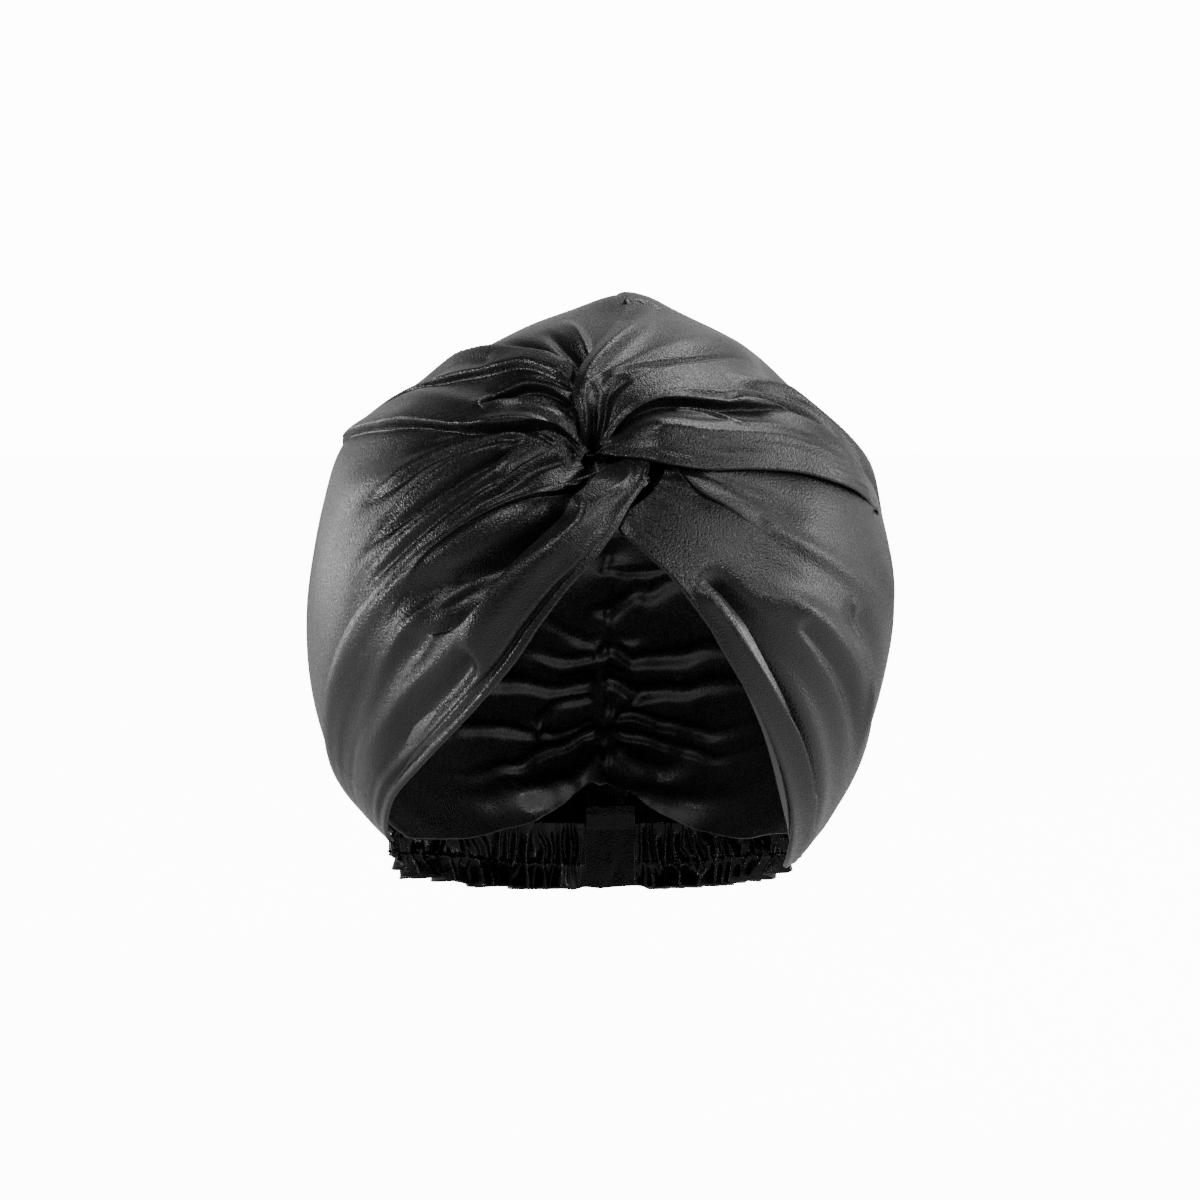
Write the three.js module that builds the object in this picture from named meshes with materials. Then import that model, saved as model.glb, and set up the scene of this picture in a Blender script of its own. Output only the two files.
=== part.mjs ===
// Satin sleep cap with a twisted front, in the form that it has on a head.
// Millimetres, +Z up, the front faces -Y, +X is on the right when the front is looked at.
// The origin is the middle of the head opening, level with the two lower front corners.
//
// Every cloth piece is a thin wall laid on one rounded body, and is drawn from the twist outwards.
// A place on the body is named by its bearing round the twist (0 to the right, 90 up, 180 to the left)
// and by its reach, the angle travelled away from the twist. Pleats run along bearings, as the cloth does.
import * as THREE from "three";

// ---- driving dimensions ----
const BODY_CENTRE = new THREE.Vector3(0, 15, 102);
const HALF_WIDTH = 115.5;
const REACH_FRONT = 120;
const REACH_BACK = 125;
const RISE_TOP = 115;
const DROP_BOTTOM = 140;
const MEAN_RADIUS = 119;

const TWIST = { lon: -2, lat: 34 }; // where the front pieces cross, in degrees round and up the body
const SAG = 1.2; // how far the far end of each bearing is drawn down towards the nape
const PINCH = { depth: 11, spread: 9 }; // the twist is pulled in: millimetres, degrees of reach

const CLOTH = 1.5; // wall of an outer piece
const LINING = 1.2;
const LINING_DEPTH = 9; // outer face of the lining below the body
const SEAM_GAP = 0.35; // half of the gap that the two sewn crown edges keep
const SEAM_START = 60; // reach at which the back seam begins, behind the peak

const COLOURS = { satin: 0x15151a, lining: 0x0c0c0f, casing: 0x0f0f12 };

// ---- small helpers ----
const rad = THREE.MathUtils.degToRad;
const { lerp, smoothstep, clamp } = THREE.MathUtils;

// Value of a named column at a key, drawn smoothly through the rows of a table.
function read(table, key, column, at) {
  const last = table.length - 1;
  if (at <= table[0][key]) return table[0][column];
  if (at >= table[last][key]) return table[last][column];
  const i = table.findIndex((row) => row[key] > at) - 1;
  const span = table[i + 1][key] - table[i][key];
  const slope = (a, b) => (table[b][column] - table[a][column]) / (table[b][key] - table[a][key]);
  const slopeIn = i > 0 ? slope(i - 1, i + 1) : slope(i, i + 1);
  const slopeOut = i + 1 < last ? slope(i, i + 2) : slope(i, i + 1);
  const t = (at - table[i][key]) / span;
  const [t2, t3] = [t * t, t * t * t];
  return (
    (2 * t3 - 3 * t2 + 1) * table[i][column] +
    (t3 - 2 * t2 + t) * span * slopeIn +
    (3 * t2 - 2 * t3) * table[i + 1][column] +
    (t3 - t2) * span * slopeOut
  );
}

// A smooth run through three values, at the start, the middle and the end.
const through3 = (start, middle, end, t) =>
  start * (1 - t) * (1 - 2 * t) + middle * 4 * t * (1 - t) + end * t * (2 * t - 1);

// ---- the rounded body that all cloth lies on ----
function direction(lon, lat) {
  const level = Math.cos(rad(lat));
  return new THREE.Vector3(Math.sin(rad(lon)) * level, -Math.cos(rad(lon)) * level, Math.sin(rad(lat)));
}

const UP = new THREE.Vector3(0, 0, 1);
const twistOut = direction(TWIST.lon, TWIST.lat);
const twistRight = new THREE.Vector3().crossVectors(UP, twistOut).normalize();
const twistUp = new THREE.Vector3().crossVectors(twistOut, twistRight);

function towards(bearing, reach) {
  const q = twistOut
    .clone()
    .multiplyScalar(Math.cos(rad(reach)))
    .addScaledVector(twistRight, Math.sin(rad(reach)) * Math.cos(rad(bearing)))
    .addScaledVector(twistUp, Math.sin(rad(reach)) * Math.sin(rad(bearing)));
  const away = (1 - q.dot(twistOut)) / 2;
  return q.addScaledVector(UP, -SAG * away ** 3).normalize();
}

function onBody(q, lift) {
  const depth = q.y < 0 ? REACH_FRONT : REACH_BACK;
  const height = q.z > 0 ? RISE_TOP : DROP_BOTTOM;
  const out = new THREE.Vector3(q.x / HALF_WIDTH, q.y / depth, q.z / height).normalize();
  const onSurface = new THREE.Vector3(q.x * HALF_WIDTH, q.y * depth, q.z * height).add(BODY_CENTRE);
  return onSurface.addScaledVector(out, lift);
}

const pinchAt = (reach) => PINCH.depth * Math.exp(-((reach / PINCH.spread) ** 2));
const ringRadius = (reach) => MEAN_RADIUS * Math.sin(rad(reach)); // of the ring of places at one reach
const longitude = (q) => THREE.MathUtils.radToDeg(Math.atan2(q.x, -q.y));

// The line where cloth ends at the sides and the nape: height by longitude, the same on both sides.
const RIM = [
  { lon: 0, top: 8, bottom: 2 },
  { lon: 66, top: 8, bottom: 0 },
  { lon: 80, top: 8, bottom: -2 },
  { lon: 110, top: 6, bottom: -13 },
  { lon: 130, top: 3, bottom: -20 },
  { lon: 150, top: -1, bottom: -26 },
  { lon: 180, top: -3, bottom: -30 },
];

// Reach at which a path away from the twist comes down to the rim, or to a line raised above it.
function reachToRim(directionAt, raise = () => 0) {
  let [near, far] = [40, 175];
  for (let step = 0; step < 24; step++) {
    const middle = (near + far) / 2;
    const q = directionAt(middle);
    const lon = Math.abs(longitude(q));
    if (onBody(q, 0).z > read(RIM, "lon", "top", lon) + raise(lon)) near = middle;
    else far = middle;
  }
  return near;
}

// ---- pleats ----
// A pleat starts at one reach and ends at another. It passes through three places across its piece, given
// as shares of the way from the low-bearing edge to the other. It stands up by its height, is slim at its
// start and wide at its end (mm), and leans: above 0 it is steep on the low-bearing side, below 0 on the
// other. A valley has a negative height.
const PLEAT_RISE = 0.18; // share of its length in which a pleat comes up to its full height

function pleatLift(pleats, reach, bearing, bearingAt) {
  let sum = 0;
  for (const pleat of pleats) {
    const t = (reach - pleat.start) / (pleat.finish - pleat.start);
    if (t <= 0 || t >= 1) continue;
    const turn = bearing - bearingAt(through3(pleat.near, pleat.middle, pleat.far, t));
    const aside = rad(turn) * ringRadius(reach);
    const width = lerp(pleat.slim, pleat.wide, t) * (1 + Math.sign(aside) * pleat.lean * 0.5);
    const swell = Math.min(1, t / PLEAT_RISE) * (1 - t ** 3);
    sum += pleat.height * swell * Math.exp(-((aside / width) ** 2));
  }
  return sum;
}

// Broad rounded parts of the outline, by longitude and latitude, on the outer pieces.
const PUFFS = [
  { lon: 60, lat: 83, spread: 9, height: 6 }, // the peak on top
  { lon: -92, lat: 60, spread: 18, height: -8 }, // the left shoulder slopes
  { lon: -88, lat: 32, spread: 10, height: 4 }, // full below the deep crease
  { lon: -96, lat: 14, spread: 14, height: -2 }, // flatter above the left temple
  { lon: -88, lat: -20, spread: 14, height: 2.5 },
  { lon: -88, lat: -38, spread: 12, height: -1.5 },
  { lon: 78, lat: 48, spread: 11, height: -7 }, // the notch above the right roll
  { lon: 88, lat: 15, spread: 12, height: -2 },
  { lon: 90, lat: -15, spread: 16, height: -2.5 },
];

function puffLift(q) {
  const share = (puff) => {
    const apart = THREE.MathUtils.radToDeg(q.angleTo(direction(puff.lon, puff.lat)));
    return puff.height * Math.exp(-((apart / puff.spread) ** 2));
  };
  return PUFFS.reduce((sum, puff) => sum + share(puff), 0);
}

// ---- thin walls ----
// A closed wall of even thickness whose outer face is a grid of points.
function wall(grid, thickness) {
  const [rows, columns] = [grid.length, grid[0].length];
  const inner = grid.map((line, i) =>
    line.map((point, j) => {
      const along = new THREE.Vector3().subVectors(
        grid[Math.min(i + 1, rows - 1)][j],
        grid[Math.max(i - 1, 0)][j],
      );
      const across = new THREE.Vector3().subVectors(
        line[Math.min(j + 1, columns - 1)],
        line[Math.max(j - 1, 0)],
      );
      return point.clone().addScaledVector(along.cross(across).normalize(), -thickness);
    }),
  );
  const positions = [...grid.flat(), ...inner.flat()].flatMap((p) => [p.x, p.y, p.z]);
  const outerAt = (i, j) => i * columns + j;
  const innerAt = (i, j) => rows * columns + i * columns + j;
  const faces = [];
  const quad = (a, b, c, d) => faces.push(a, b, c, a, c, d);
  for (let i = 0; i < rows - 1; i++)
    for (let j = 0; j < columns - 1; j++) {
      quad(outerAt(i, j), outerAt(i + 1, j), outerAt(i + 1, j + 1), outerAt(i, j + 1));
      quad(innerAt(i, j), innerAt(i, j + 1), innerAt(i + 1, j + 1), innerAt(i + 1, j));
    }
  const [end, side] = [rows - 1, columns - 1];
  for (let i = 0; i < end; i++) {
    quad(outerAt(i, 0), innerAt(i, 0), innerAt(i + 1, 0), outerAt(i + 1, 0));
    quad(outerAt(i, side), outerAt(i + 1, side), innerAt(i + 1, side), innerAt(i, side));
  }
  for (let j = 0; j < side; j++) {
    quad(outerAt(0, j), outerAt(0, j + 1), innerAt(0, j + 1), innerAt(0, j));
    quad(outerAt(end, j), innerAt(end, j), innerAt(end, j + 1), outerAt(end, j + 1));
  }
  const geometry = new THREE.BufferGeometry();
  geometry.setAttribute("position", new THREE.Float32BufferAttribute(positions, 3));
  geometry.setIndex(faces);
  return geometry;
}

function clothMesh(name, grid, thickness, finish) {
  const mesh = new THREE.Mesh(wall(grid, thickness), finish);
  mesh.name = name;
  return mesh;
}

const material = (color, roughness) => new THREE.MeshStandardMaterial({ color, roughness, metalness: 0 });
const satin = material(COLOURS.satin, 0.38);
const liningSatin = material(COLOURS.lining, 0.45);
const casingSatin = material(COLOURS.casing, 0.42);

// ---- gathers ----
// The seam down the back and the top of the casing draw the crown and the lining up in small folds.
// They die out away from the seam (mm); folds counts them along it.
const BACK_GATHERS = { first: 64, last: 150, folds: 5, depth: 5, spread: 34 };
const LINING_GATHERS = { first: 96, last: 150, folds: 8, depth: 6, spread: 45 };
const NAPE_GATHERS = { folds: 6, depth: 3.5, spread: 12 }; // spread in degrees of reach

const SEAM_BEARING = 90;
const fromSeam = (bearing, reach) => Math.abs(rad(bearing - SEAM_BEARING)) * ringRadius(reach);

// Beyond the start of the seam, an edge that is sewn in it stays half a gap away from its line.
// The side is 1 for a piece at higher bearings than the seam, -1 at lower ones, and 0 if it isn't sewn there.
function besideSeam(planned, reach, side, start) {
  const turn = THREE.MathUtils.radToDeg(SEAM_GAP / ringRadius(reach));
  const beyond = side !== 0 && reach > start && (planned - SEAM_BEARING) * side < turn;
  return beyond ? SEAM_BEARING + side * turn : planned;
}

function seamGather(gathers, reach, aside) {
  const along = (reach - gathers.first) / (gathers.last - gathers.first);
  if (along <= 0 || along >= 1) return 0;
  const fold = (Math.cos(along * gathers.folds * 2 * Math.PI) - 1) / 2;
  return gathers.depth * fold * Math.exp(-aside / gathers.spread) * smoothstep(1 - along, 0, 0.1);
}

// ---- outer pieces ----
// Sections follow a piece away from the twist. Each gives the reach at the low-bearing edge, the lead that
// the other edge has over it, the bearings of the two edges and of the middle, and the lift of the outer
// face at the edges. The tucked part of an edge (degrees) lies under a neighbour, where it is flat and dips.
// A column that a table leaves out is 0.
const TUCK_DIP = 3.2;
const TUCK_EASE = 6; // degrees in which the pleats die out towards a tuck
const RELIEF = { deepest: -5, highest: 13 };

// How much of a place shows, and how far it is tucked: both run from 0 to 1.
function tuckAt(inside, tuck) {
  if (tuck <= 0.5) return { shown: 1, tucked: 0 };
  return { shown: smoothstep(inside, 0, TUCK_EASE), tucked: clamp(-inside / tuck, 0, 1) };
}

function outerPiece(name, sections, pleats, options) {
  const { rows, columns, finish, crowding = 1.3, dip = TUCK_DIP, seamSide = 0 } = options;
  const gathers = options.gathers ?? (() => 0);
  const edge = (column, reach) => (column in sections[0] ? read(sections, "reach", column, reach) : 0);
  const across = (at, share) => through3(edge("from", at), edge("mid", at), edge("to", at), share);
  const reachAt = (along, share) => along + edge("lead", along) * share;
  const directionAt = (along, share) => towards(across(along, share), reachAt(along, share));
  const shares = Array.from({ length: columns + 1 }, (_, j) => j / columns);
  const ends = shares.map((share) => finish ?? reachToRim((along) => directionAt(along, share)));

  function pointAt(along, share, toRim) {
    const reach = reachAt(along, share);
    const bearing = besideSeam(across(along, share), reach, seamSide, SEAM_START);
    const [tuckFrom, tuckTo] = [edge("tuckFrom", along), edge("tuckTo", along)];
    const low = tuckAt(bearing - edge("from", along) - tuckFrom, tuckFrom);
    const high = tuckAt(edge("to", along) - bearing - tuckTo, tuckTo);
    const shown = low.shown * high.shown;
    const lift = lerp(edge("liftFrom", along), edge("liftTo", along), share);
    const pleated = pleatLift(pleats, reach, bearing, (at) => across(along, at));
    const relief = clamp(pleated, RELIEF.deepest, RELIEF.highest) + gathers(reach, bearing, share, toRim);
    const q = towards(bearing, reach);
    const sunk = dip * Math.max(low.tucked, high.tucked) + pinchAt(reach);
    return onBody(q, lift + relief * shown + puffLift(q) - sunk);
  }

  const grid = [];
  for (let i = 0; i <= rows; i++) {
    const travelled = (i / rows) ** crowding;
    grid.push(
      shares.map((share, j) => {
        const along = lerp(sections[0].reach, ends[j], travelled);
        return pointAt(along, share, ends[j] - along);
      }),
    );
  }
  return clothMesh(name, grid, CLOTH, satin);
}

const crownGathers = (reach, bearing, share, toRim) =>
  seamGather(BACK_GATHERS, reach, fromSeam(bearing, reach)) +
  (NAPE_GATHERS.depth / 2) *
    (1 - Math.cos(share * NAPE_GATHERS.folds * 2 * Math.PI)) *
    Math.exp(-toRim / NAPE_GATHERS.spread);

const CROWN_LEFT = [
  { reach: 2, from: 98, mid: 152, to: 250, liftFrom: 1.5, liftTo: 1.5, tuckFrom: 8, tuckTo: 20 },
  { reach: 8, from: 96, mid: 140, to: 242, liftFrom: 1.5, liftTo: 1.5, tuckFrom: 12, tuckTo: 10 },
  { reach: 14, from: 92, mid: 150, to: 230, liftFrom: 1.5, liftTo: 1.5, tuckFrom: 11, tuckTo: 10 },
  { reach: 23, from: 80, mid: 161, to: 220, liftFrom: 1.5, liftTo: 1.5, tuckFrom: 10, tuckTo: 8 },
  { reach: 35, from: 76, mid: 160, to: 215, liftFrom: 1.5, liftTo: 1.5, tuckFrom: 7, tuckTo: 7 },
  { reach: 50, from: 80, mid: 156, to: 214, liftFrom: 1.5, liftTo: 1.5, tuckFrom: 3, tuckTo: 7 },
  { reach: 56, from: 87, mid: 154, to: 213, liftFrom: 1.5, liftTo: 1.5, tuckFrom: 0, tuckTo: 7 },
  { reach: 64, from: SEAM_BEARING, mid: 151, to: 213, liftFrom: 1, liftTo: 1.5, tuckFrom: 0, tuckTo: 7 },
  { reach: 80, from: SEAM_BEARING, mid: 150, to: 212, liftFrom: 0, liftTo: 1.5, tuckFrom: 0, tuckTo: 7 },
  { reach: 100, from: SEAM_BEARING, mid: 150, to: 211, liftFrom: 0, liftTo: 1.5, tuckFrom: 0, tuckTo: 6 },
  { reach: 150, from: SEAM_BEARING, mid: 150, to: 209, liftFrom: 0, liftTo: 1.5, tuckFrom: 0, tuckTo: 6 },
];

// Pleats that fan out to the left, from the top of the twist round to the left wrap.
const CROWN_LEFT_PLEATS = [
  { start: 16, finish: 62, near: 0.08, middle: 0.28, far: 0.45, height: 6, slim: 4, wide: 12, lean: 0.5 },
  { start: 14, finish: 54, near: 0.08, middle: 0.34, far: 0.5, height: -4, slim: 3, wide: 8, lean: 0 },
  { start: 10, finish: 48, near: 0.14, middle: 0.39, far: 0.52, height: 3, slim: 3, wide: 8, lean: 0 },
  { start: 8, finish: 30, near: 0.09, middle: 0.27, far: 0.42, height: -6, slim: 3, wide: 6, lean: 0 },
  { start: 5, finish: 88, near: 0.44, middle: 0.45, far: 0.45, height: 6, slim: 3, wide: 12, lean: -0.3 },
  { start: 3, finish: 88, near: 0.53, middle: 0.53, far: 0.54, height: -6, slim: 3, wide: 8, lean: 0 },
  { start: 6, finish: 60, near: 0.6, middle: 0.62, far: 0.63, height: 3, slim: 3, wide: 9, lean: 0 },
  { start: 5, finish: 54, near: 0.7, middle: 0.75, far: 0.8, height: 3.5, slim: 3, wide: 8, lean: 0 },
  { start: 9, finish: 56, near: 0.84, middle: 0.87, far: 0.88, height: 3, slim: 3, wide: 8, lean: 0 },
];

const CROWN_RIGHT = [
  { reach: 2, from: 20, mid: 64, to: 107, liftFrom: 1.5, liftTo: 3.7, tuckFrom: 30 },
  { reach: 9, from: 36, mid: 72, to: 108, liftFrom: 1.5, liftTo: 3.7, tuckFrom: 20 },
  { reach: 14, from: 38, mid: 70, to: 103, liftFrom: 1.5, liftTo: 3.7, tuckFrom: 14 },
  { reach: 17, from: 36, mid: 67, to: 98, liftFrom: 1.5, liftTo: 3.7, tuckFrom: 12 },
  { reach: 23, from: 29, mid: 60, to: 90, liftFrom: 1.5, liftTo: 3.7, tuckFrom: 12 },
  { reach: 32, from: 22, mid: 53, to: 84, liftFrom: 1.5, liftTo: 3.7, tuckFrom: 12 },
  { reach: 48, from: 14, mid: 48, to: 83, liftFrom: 1.5, liftTo: 3.7, tuckFrom: 12 },
  { reach: 56, from: 8, mid: 47, to: 86.2, liftFrom: 1.5, liftTo: 3.6, tuckFrom: 10 },
  { reach: 64, from: 4, mid: 47, to: SEAM_BEARING, liftFrom: 1.5, liftTo: 1, tuckFrom: 9 },
  { reach: 80, from: 8, mid: 49, to: SEAM_BEARING, liftFrom: 1.5, liftTo: 0, tuckFrom: 8 },
  { reach: 95, from: 2, mid: 46, to: SEAM_BEARING, liftFrom: 1.5, liftTo: 0, tuckFrom: 8 },
  { reach: 113, from: -10, mid: 40, to: SEAM_BEARING, liftFrom: 1.5, liftTo: 0, tuckFrom: 8 },
  { reach: 150, from: -16, mid: 37, to: SEAM_BEARING, liftFrom: 1.5, liftTo: 0, tuckFrom: 8 },
];

const CROWN_RIGHT_PLEATS = [
  { start: 2, finish: 52, near: 0.86, middle: 0.9, far: 0.9, height: 4, slim: 3, wide: 6, lean: 0 },
  { start: 10, finish: 60, near: 0.74, middle: 0.45, far: 0.41, height: -2, slim: 3, wide: 8, lean: 0 },
  { start: 24, finish: 76, near: 0.62, middle: 0.58, far: 0.55, height: 3, slim: 6, wide: 12, lean: 0 },
  { start: 30, finish: 104, near: 0.4, middle: 0.26, far: 0.16, height: 6, slim: 5, wide: 12, lean: -0.2 },
];

const WRAP_LEFT = [
  { reach: 1.5, lead: 7, from: 300, mid: 332, to: 358, liftFrom: 5.4, liftTo: 5.4, tuckTo: 12 },
  { reach: 5, lead: 6, from: 262, mid: 306, to: 348, liftFrom: 4.4, liftTo: 5.4, tuckTo: 4 },
  { reach: 8, lead: 4, from: 236, mid: 279, to: 322, liftFrom: 4, liftTo: 5.6, tuckTo: 0 },
  { reach: 11, lead: 3, from: 222, mid: 260, to: 299, liftFrom: 3.9, liftTo: 5.6, tuckTo: 0 },
  { reach: 15, lead: 2, from: 216, mid: 251, to: 286, liftFrom: 3.9, liftTo: 5, tuckTo: 0 },
  { reach: 20, lead: 1, from: 212, mid: 243, to: 274, liftFrom: 3.9, liftTo: 4, tuckTo: 0 },
  { reach: 28, lead: 0, from: 209, mid: 234, to: 260, liftFrom: 3.9, liftTo: 2, tuckTo: 0 },
  { reach: 42, lead: 0, from: 207, mid: 228, to: 248, liftFrom: 3.9, liftTo: 0.6, tuckTo: 0 },
  { reach: 57, lead: 0, from: 206, mid: 222, to: 237, liftFrom: 3.9, liftTo: 0, tuckTo: 0 },
  { reach: 75, lead: 0, from: 205, mid: 216, to: 226, liftFrom: 3.9, liftTo: 0, tuckTo: 0 },
  { reach: 90, lead: 0, from: 204.5, mid: 212, to: 219, liftFrom: 3.9, liftTo: 0.4, tuckTo: 0 },
  { reach: 104, lead: 0, from: 203, mid: 207, to: 211, liftFrom: 3.9, liftTo: 1, tuckTo: 0 },
];

const WRAP_LEFT_PLEATS = [
  { start: 4, finish: 98, near: 0.06, middle: 0.06, far: 0.08, height: 3, slim: 3, wide: 7, lean: 0 },
  { start: 7, finish: 52, near: 0.26, middle: 0.31, far: 0.34, height: -6, slim: 5, wide: 10, lean: 0 },
  { start: 5, finish: 56, near: 0.54, middle: 0.58, far: 0.6, height: 6, slim: 4, wide: 8, lean: -0.2 },
  { start: 32, finish: 74, near: 0.72, middle: 0.68, far: 0.66, height: -4, slim: 4, wide: 9, lean: 0 },
];

const WRAP_RIGHT = [
  { reach: 14, from: 294, mid: 326, to: 359, liftFrom: 2, liftTo: 1.5, tuckTo: 12 },
  { reach: 17, from: 289, mid: 326, to: 362, liftFrom: 2, liftTo: 1.5, tuckTo: 12 },
  { reach: 21, from: 295, mid: 330, to: 364, liftFrom: 1.6, liftTo: 1.5, tuckTo: 12 },
  { reach: 28, from: 302, mid: 335, to: 368, liftFrom: 1, liftTo: 1.5, tuckTo: 9 },
  { reach: 37, from: 306, mid: 338, to: 371, liftFrom: 0.6, liftTo: 1.5, tuckTo: 8 },
  { reach: 46, from: 309.5, mid: 341, to: 373, liftFrom: 0.2, liftTo: 3.7, tuckTo: 8 },
  { reach: 56, from: 313, mid: 344, to: 376, liftFrom: 0, liftTo: 3.7, tuckTo: 8 },
  { reach: 68, from: 316, mid: 346, to: 377, liftFrom: 0, liftTo: 3.7, tuckTo: 3 },
  { reach: 84, from: 318, mid: 346, to: 375, liftFrom: 0, liftTo: 3.7, tuckTo: 0 },
  { reach: 95, from: 319, mid: 344, to: 370, liftFrom: 0.4, liftTo: 3.7, tuckTo: 0 },
  { reach: 110, from: 325, mid: 342, to: 359, liftFrom: 1, liftTo: 3.7, tuckTo: 0 },
  { reach: 124, from: 330, mid: 341, to: 352, liftFrom: 1, liftTo: 3.7, tuckTo: 0 },
];

const WRAP_RIGHT_PLEATS = [
  { start: 13, finish: 52, near: 0.8, middle: 0.56, far: 0.54, height: 4, slim: 3, wide: 9, lean: 0 },
  { start: 14, finish: 46, near: 0.9, middle: 0.68, far: 0.62, height: -2.5, slim: 3, wide: 9, lean: 0 },
  { start: 26, finish: 96, near: 0.05, middle: 0.05, far: 0.06, height: 4, slim: 4, wide: 8, lean: 0 },
  { start: 32, finish: 94, near: 0.13, middle: 0.16, far: 0.18, height: -5, slim: 4, wide: 8, lean: 0 },
  { start: 40, finish: 98, near: 0.24, middle: 0.28, far: 0.3, height: 4, slim: 5, wide: 9, lean: 0 },
  { start: 50, finish: 98, near: 0.4, middle: 0.42, far: 0.44, height: 2.5, slim: 6, wide: 10, lean: 0 },
];

const ROLL_RIGHT = [
  { reach: 2, lead: 0.6, from: -6, mid: 26, to: 58, liftFrom: 8, liftTo: 7 },
  { reach: 5, lead: 0.4, from: -12, mid: 24, to: 60, liftFrom: 8, liftTo: 6.4 },
  { reach: 11, lead: 0, from: -15, mid: 21, to: 57, liftFrom: 7.6, liftTo: 5.4 },
  { reach: 15, lead: 0, from: -13, mid: 20, to: 52, liftFrom: 6, liftTo: 4.6 },
  { reach: 20, lead: 0, from: -9, mid: 18, to: 45, liftFrom: 4.4, liftTo: 4.2 },
  { reach: 28, lead: 0, from: -2, mid: 18, to: 37, liftFrom: 4, liftTo: 4 },
  { reach: 38, lead: 0, from: 3, mid: 17, to: 31, liftFrom: 4.4, liftTo: 4 },
  { reach: 48, lead: 0, from: 5, mid: 16, to: 26, liftFrom: 5.8, liftTo: 4.6 },
  { reach: 57, lead: 0, from: 7.5, mid: 13, to: 18, liftFrom: 5.5, liftTo: 5.5 },
  { reach: 68, lead: 0, from: 10, mid: 12, to: 13.5, liftFrom: 5.2, liftTo: 5.4 },
];

const ROLL_RIGHT_PLEATS = [
  { start: 2, finish: 60, near: 0.94, middle: 0.93, far: 0.9, height: 3, slim: 2.5, wide: 5, lean: 0 },
  { start: 3, finish: 56, near: 0.86, middle: 0.64, far: 0.6, height: -2.5, slim: 2.5, wide: 6, lean: 0 },
  { start: 2, finish: 58, near: 0.62, middle: 0.4, far: 0.5, height: 4, slim: 4, wide: 8, lean: 0 },
];

// ---- lining ----
// Two skins inside all outer pieces, gathered on the seam that joins them over the top and down the back.
const LINING_EDGES = [
  { reach: 4, from: -62, to: 286 },
  { reach: 18, from: -62, to: 268 },
  { reach: 30, from: -54, to: 256 },
  { reach: 43, from: -51, to: 246 },
  { reach: 58, from: -48, to: 235 },
  { reach: 76, from: -44, to: 224 },
  { reach: 90, from: -41, to: 217 },
  { reach: 104, from: -34, to: 209 },
];

const LINING_ARCH = { height: 14, spread: 24, drop: -1 }; // the seam draws the lower edge up at the nape
const LINING_HELD = { front: -2.3, sides: -4.5, width: 0.06 }; // sewn to the outer pieces along its edges
const LINING_TURN = { first: 80, last: 104 }; // reach in which the edge comes round from front to sides
const LINING_GRID = { plainRows: 8, rows: 32, columns: 7 }; // the plain rows come before the gathers

function liningLift(share, bearing, reach) {
  const held = 1 - smoothstep(Math.min(share, 1 - share), 0, LINING_HELD.width);
  const turned = smoothstep(reach, LINING_TURN.first, LINING_TURN.last);
  const edge = lerp(LINING_HELD.front, LINING_HELD.sides, turned);
  const gathered = seamGather(LINING_GATHERS, reach, fromSeam(bearing, reach)) * (1 - held);
  return lerp(-LINING_DEPTH, edge, held) + gathered - pinchAt(reach);
}

// Share of the way across both skins. Columns crowd towards the seam, which is at one half.
function shareFromSeam(step, side) {
  const x = step / LINING_GRID.columns;
  return 0.5 + (side / 2) * lerp(x, x ** 3, 0.55);
}

function lining(name, side) {
  const { plainRows, rows, columns } = LINING_GRID;
  const edge = (end, reach) => read(LINING_EDGES, "reach", end, reach);
  const across = (reach, share) => through3(edge("from", reach), SEAM_BEARING, edge("to", reach), share);
  const steps = Array.from({ length: columns + 1 }, (_, j) => (side > 0 ? j : columns - j));
  const shares = steps.map((step) => shareFromSeam(step, side));
  const arch = (lon) => LINING_ARCH.height * Math.exp(-(((180 - lon) / LINING_ARCH.spread) ** 2));
  const raise = (lon) => LINING_ARCH.drop + arch(lon);
  const ends = shares.map((share) => reachToRim((reach) => towards(across(reach, share), reach), raise));

  function pointAt(i, j) {
    const turn = Math.min(LINING_GATHERS.first, ends[j] * 0.7);
    const gathered = (i - plainRows) / (rows - plainRows);
    const plain = lerp(LINING_EDGES[0].reach, turn, i / plainRows);
    const reach = gathered < 0 ? plain : lerp(turn, ends[j], gathered);
    const bearing = besideSeam(across(reach, shares[j]), reach, side, 0);
    return onBody(towards(bearing, reach), liningLift(shares[j], bearing, reach));
  }

  const grid = Array.from({ length: rows + 1 }, (_, i) => shares.map((_, j) => pointAt(i, j)));
  return clothMesh(name, grid, LINING, liningSatin);
}

// ---- elastic casing at the nape ----
// Down from its top seam: drop as a share of the height, and how far the gathers swing in and out.
const CASING_PROFILE = [
  { drop: 0, swing: 0.8 },
  { drop: 0.4, swing: 1.6 },
  { drop: 0.72, swing: 1 },
  { drop: 1, swing: 2.6 },
];
const STEPS_PER_GATHER = 3;
const CASING_GAP = 0.9; // below the edge of the crown
const CASING_INSET = 1; // its face lies this far inside the body

function casingPoint(lon, drop, swing) {
  const around = Math.abs(lon);
  const top = read(RIM, "lon", "top", around) - CASING_GAP;
  const height = top - read(RIM, "lon", "bottom", around);
  const lat = THREE.MathUtils.radToDeg(Math.asin((top - BODY_CENTRE.z) / DROP_BOTTOM));
  const out = new THREE.Vector3(Math.sin(rad(lon)), -Math.cos(rad(lon)), 0);
  return onBody(direction(lon, lat), 0)
    .addScaledVector(out, swing - CASING_INSET - drop)
    .addScaledVector(UP, -drop * height);
}

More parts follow.
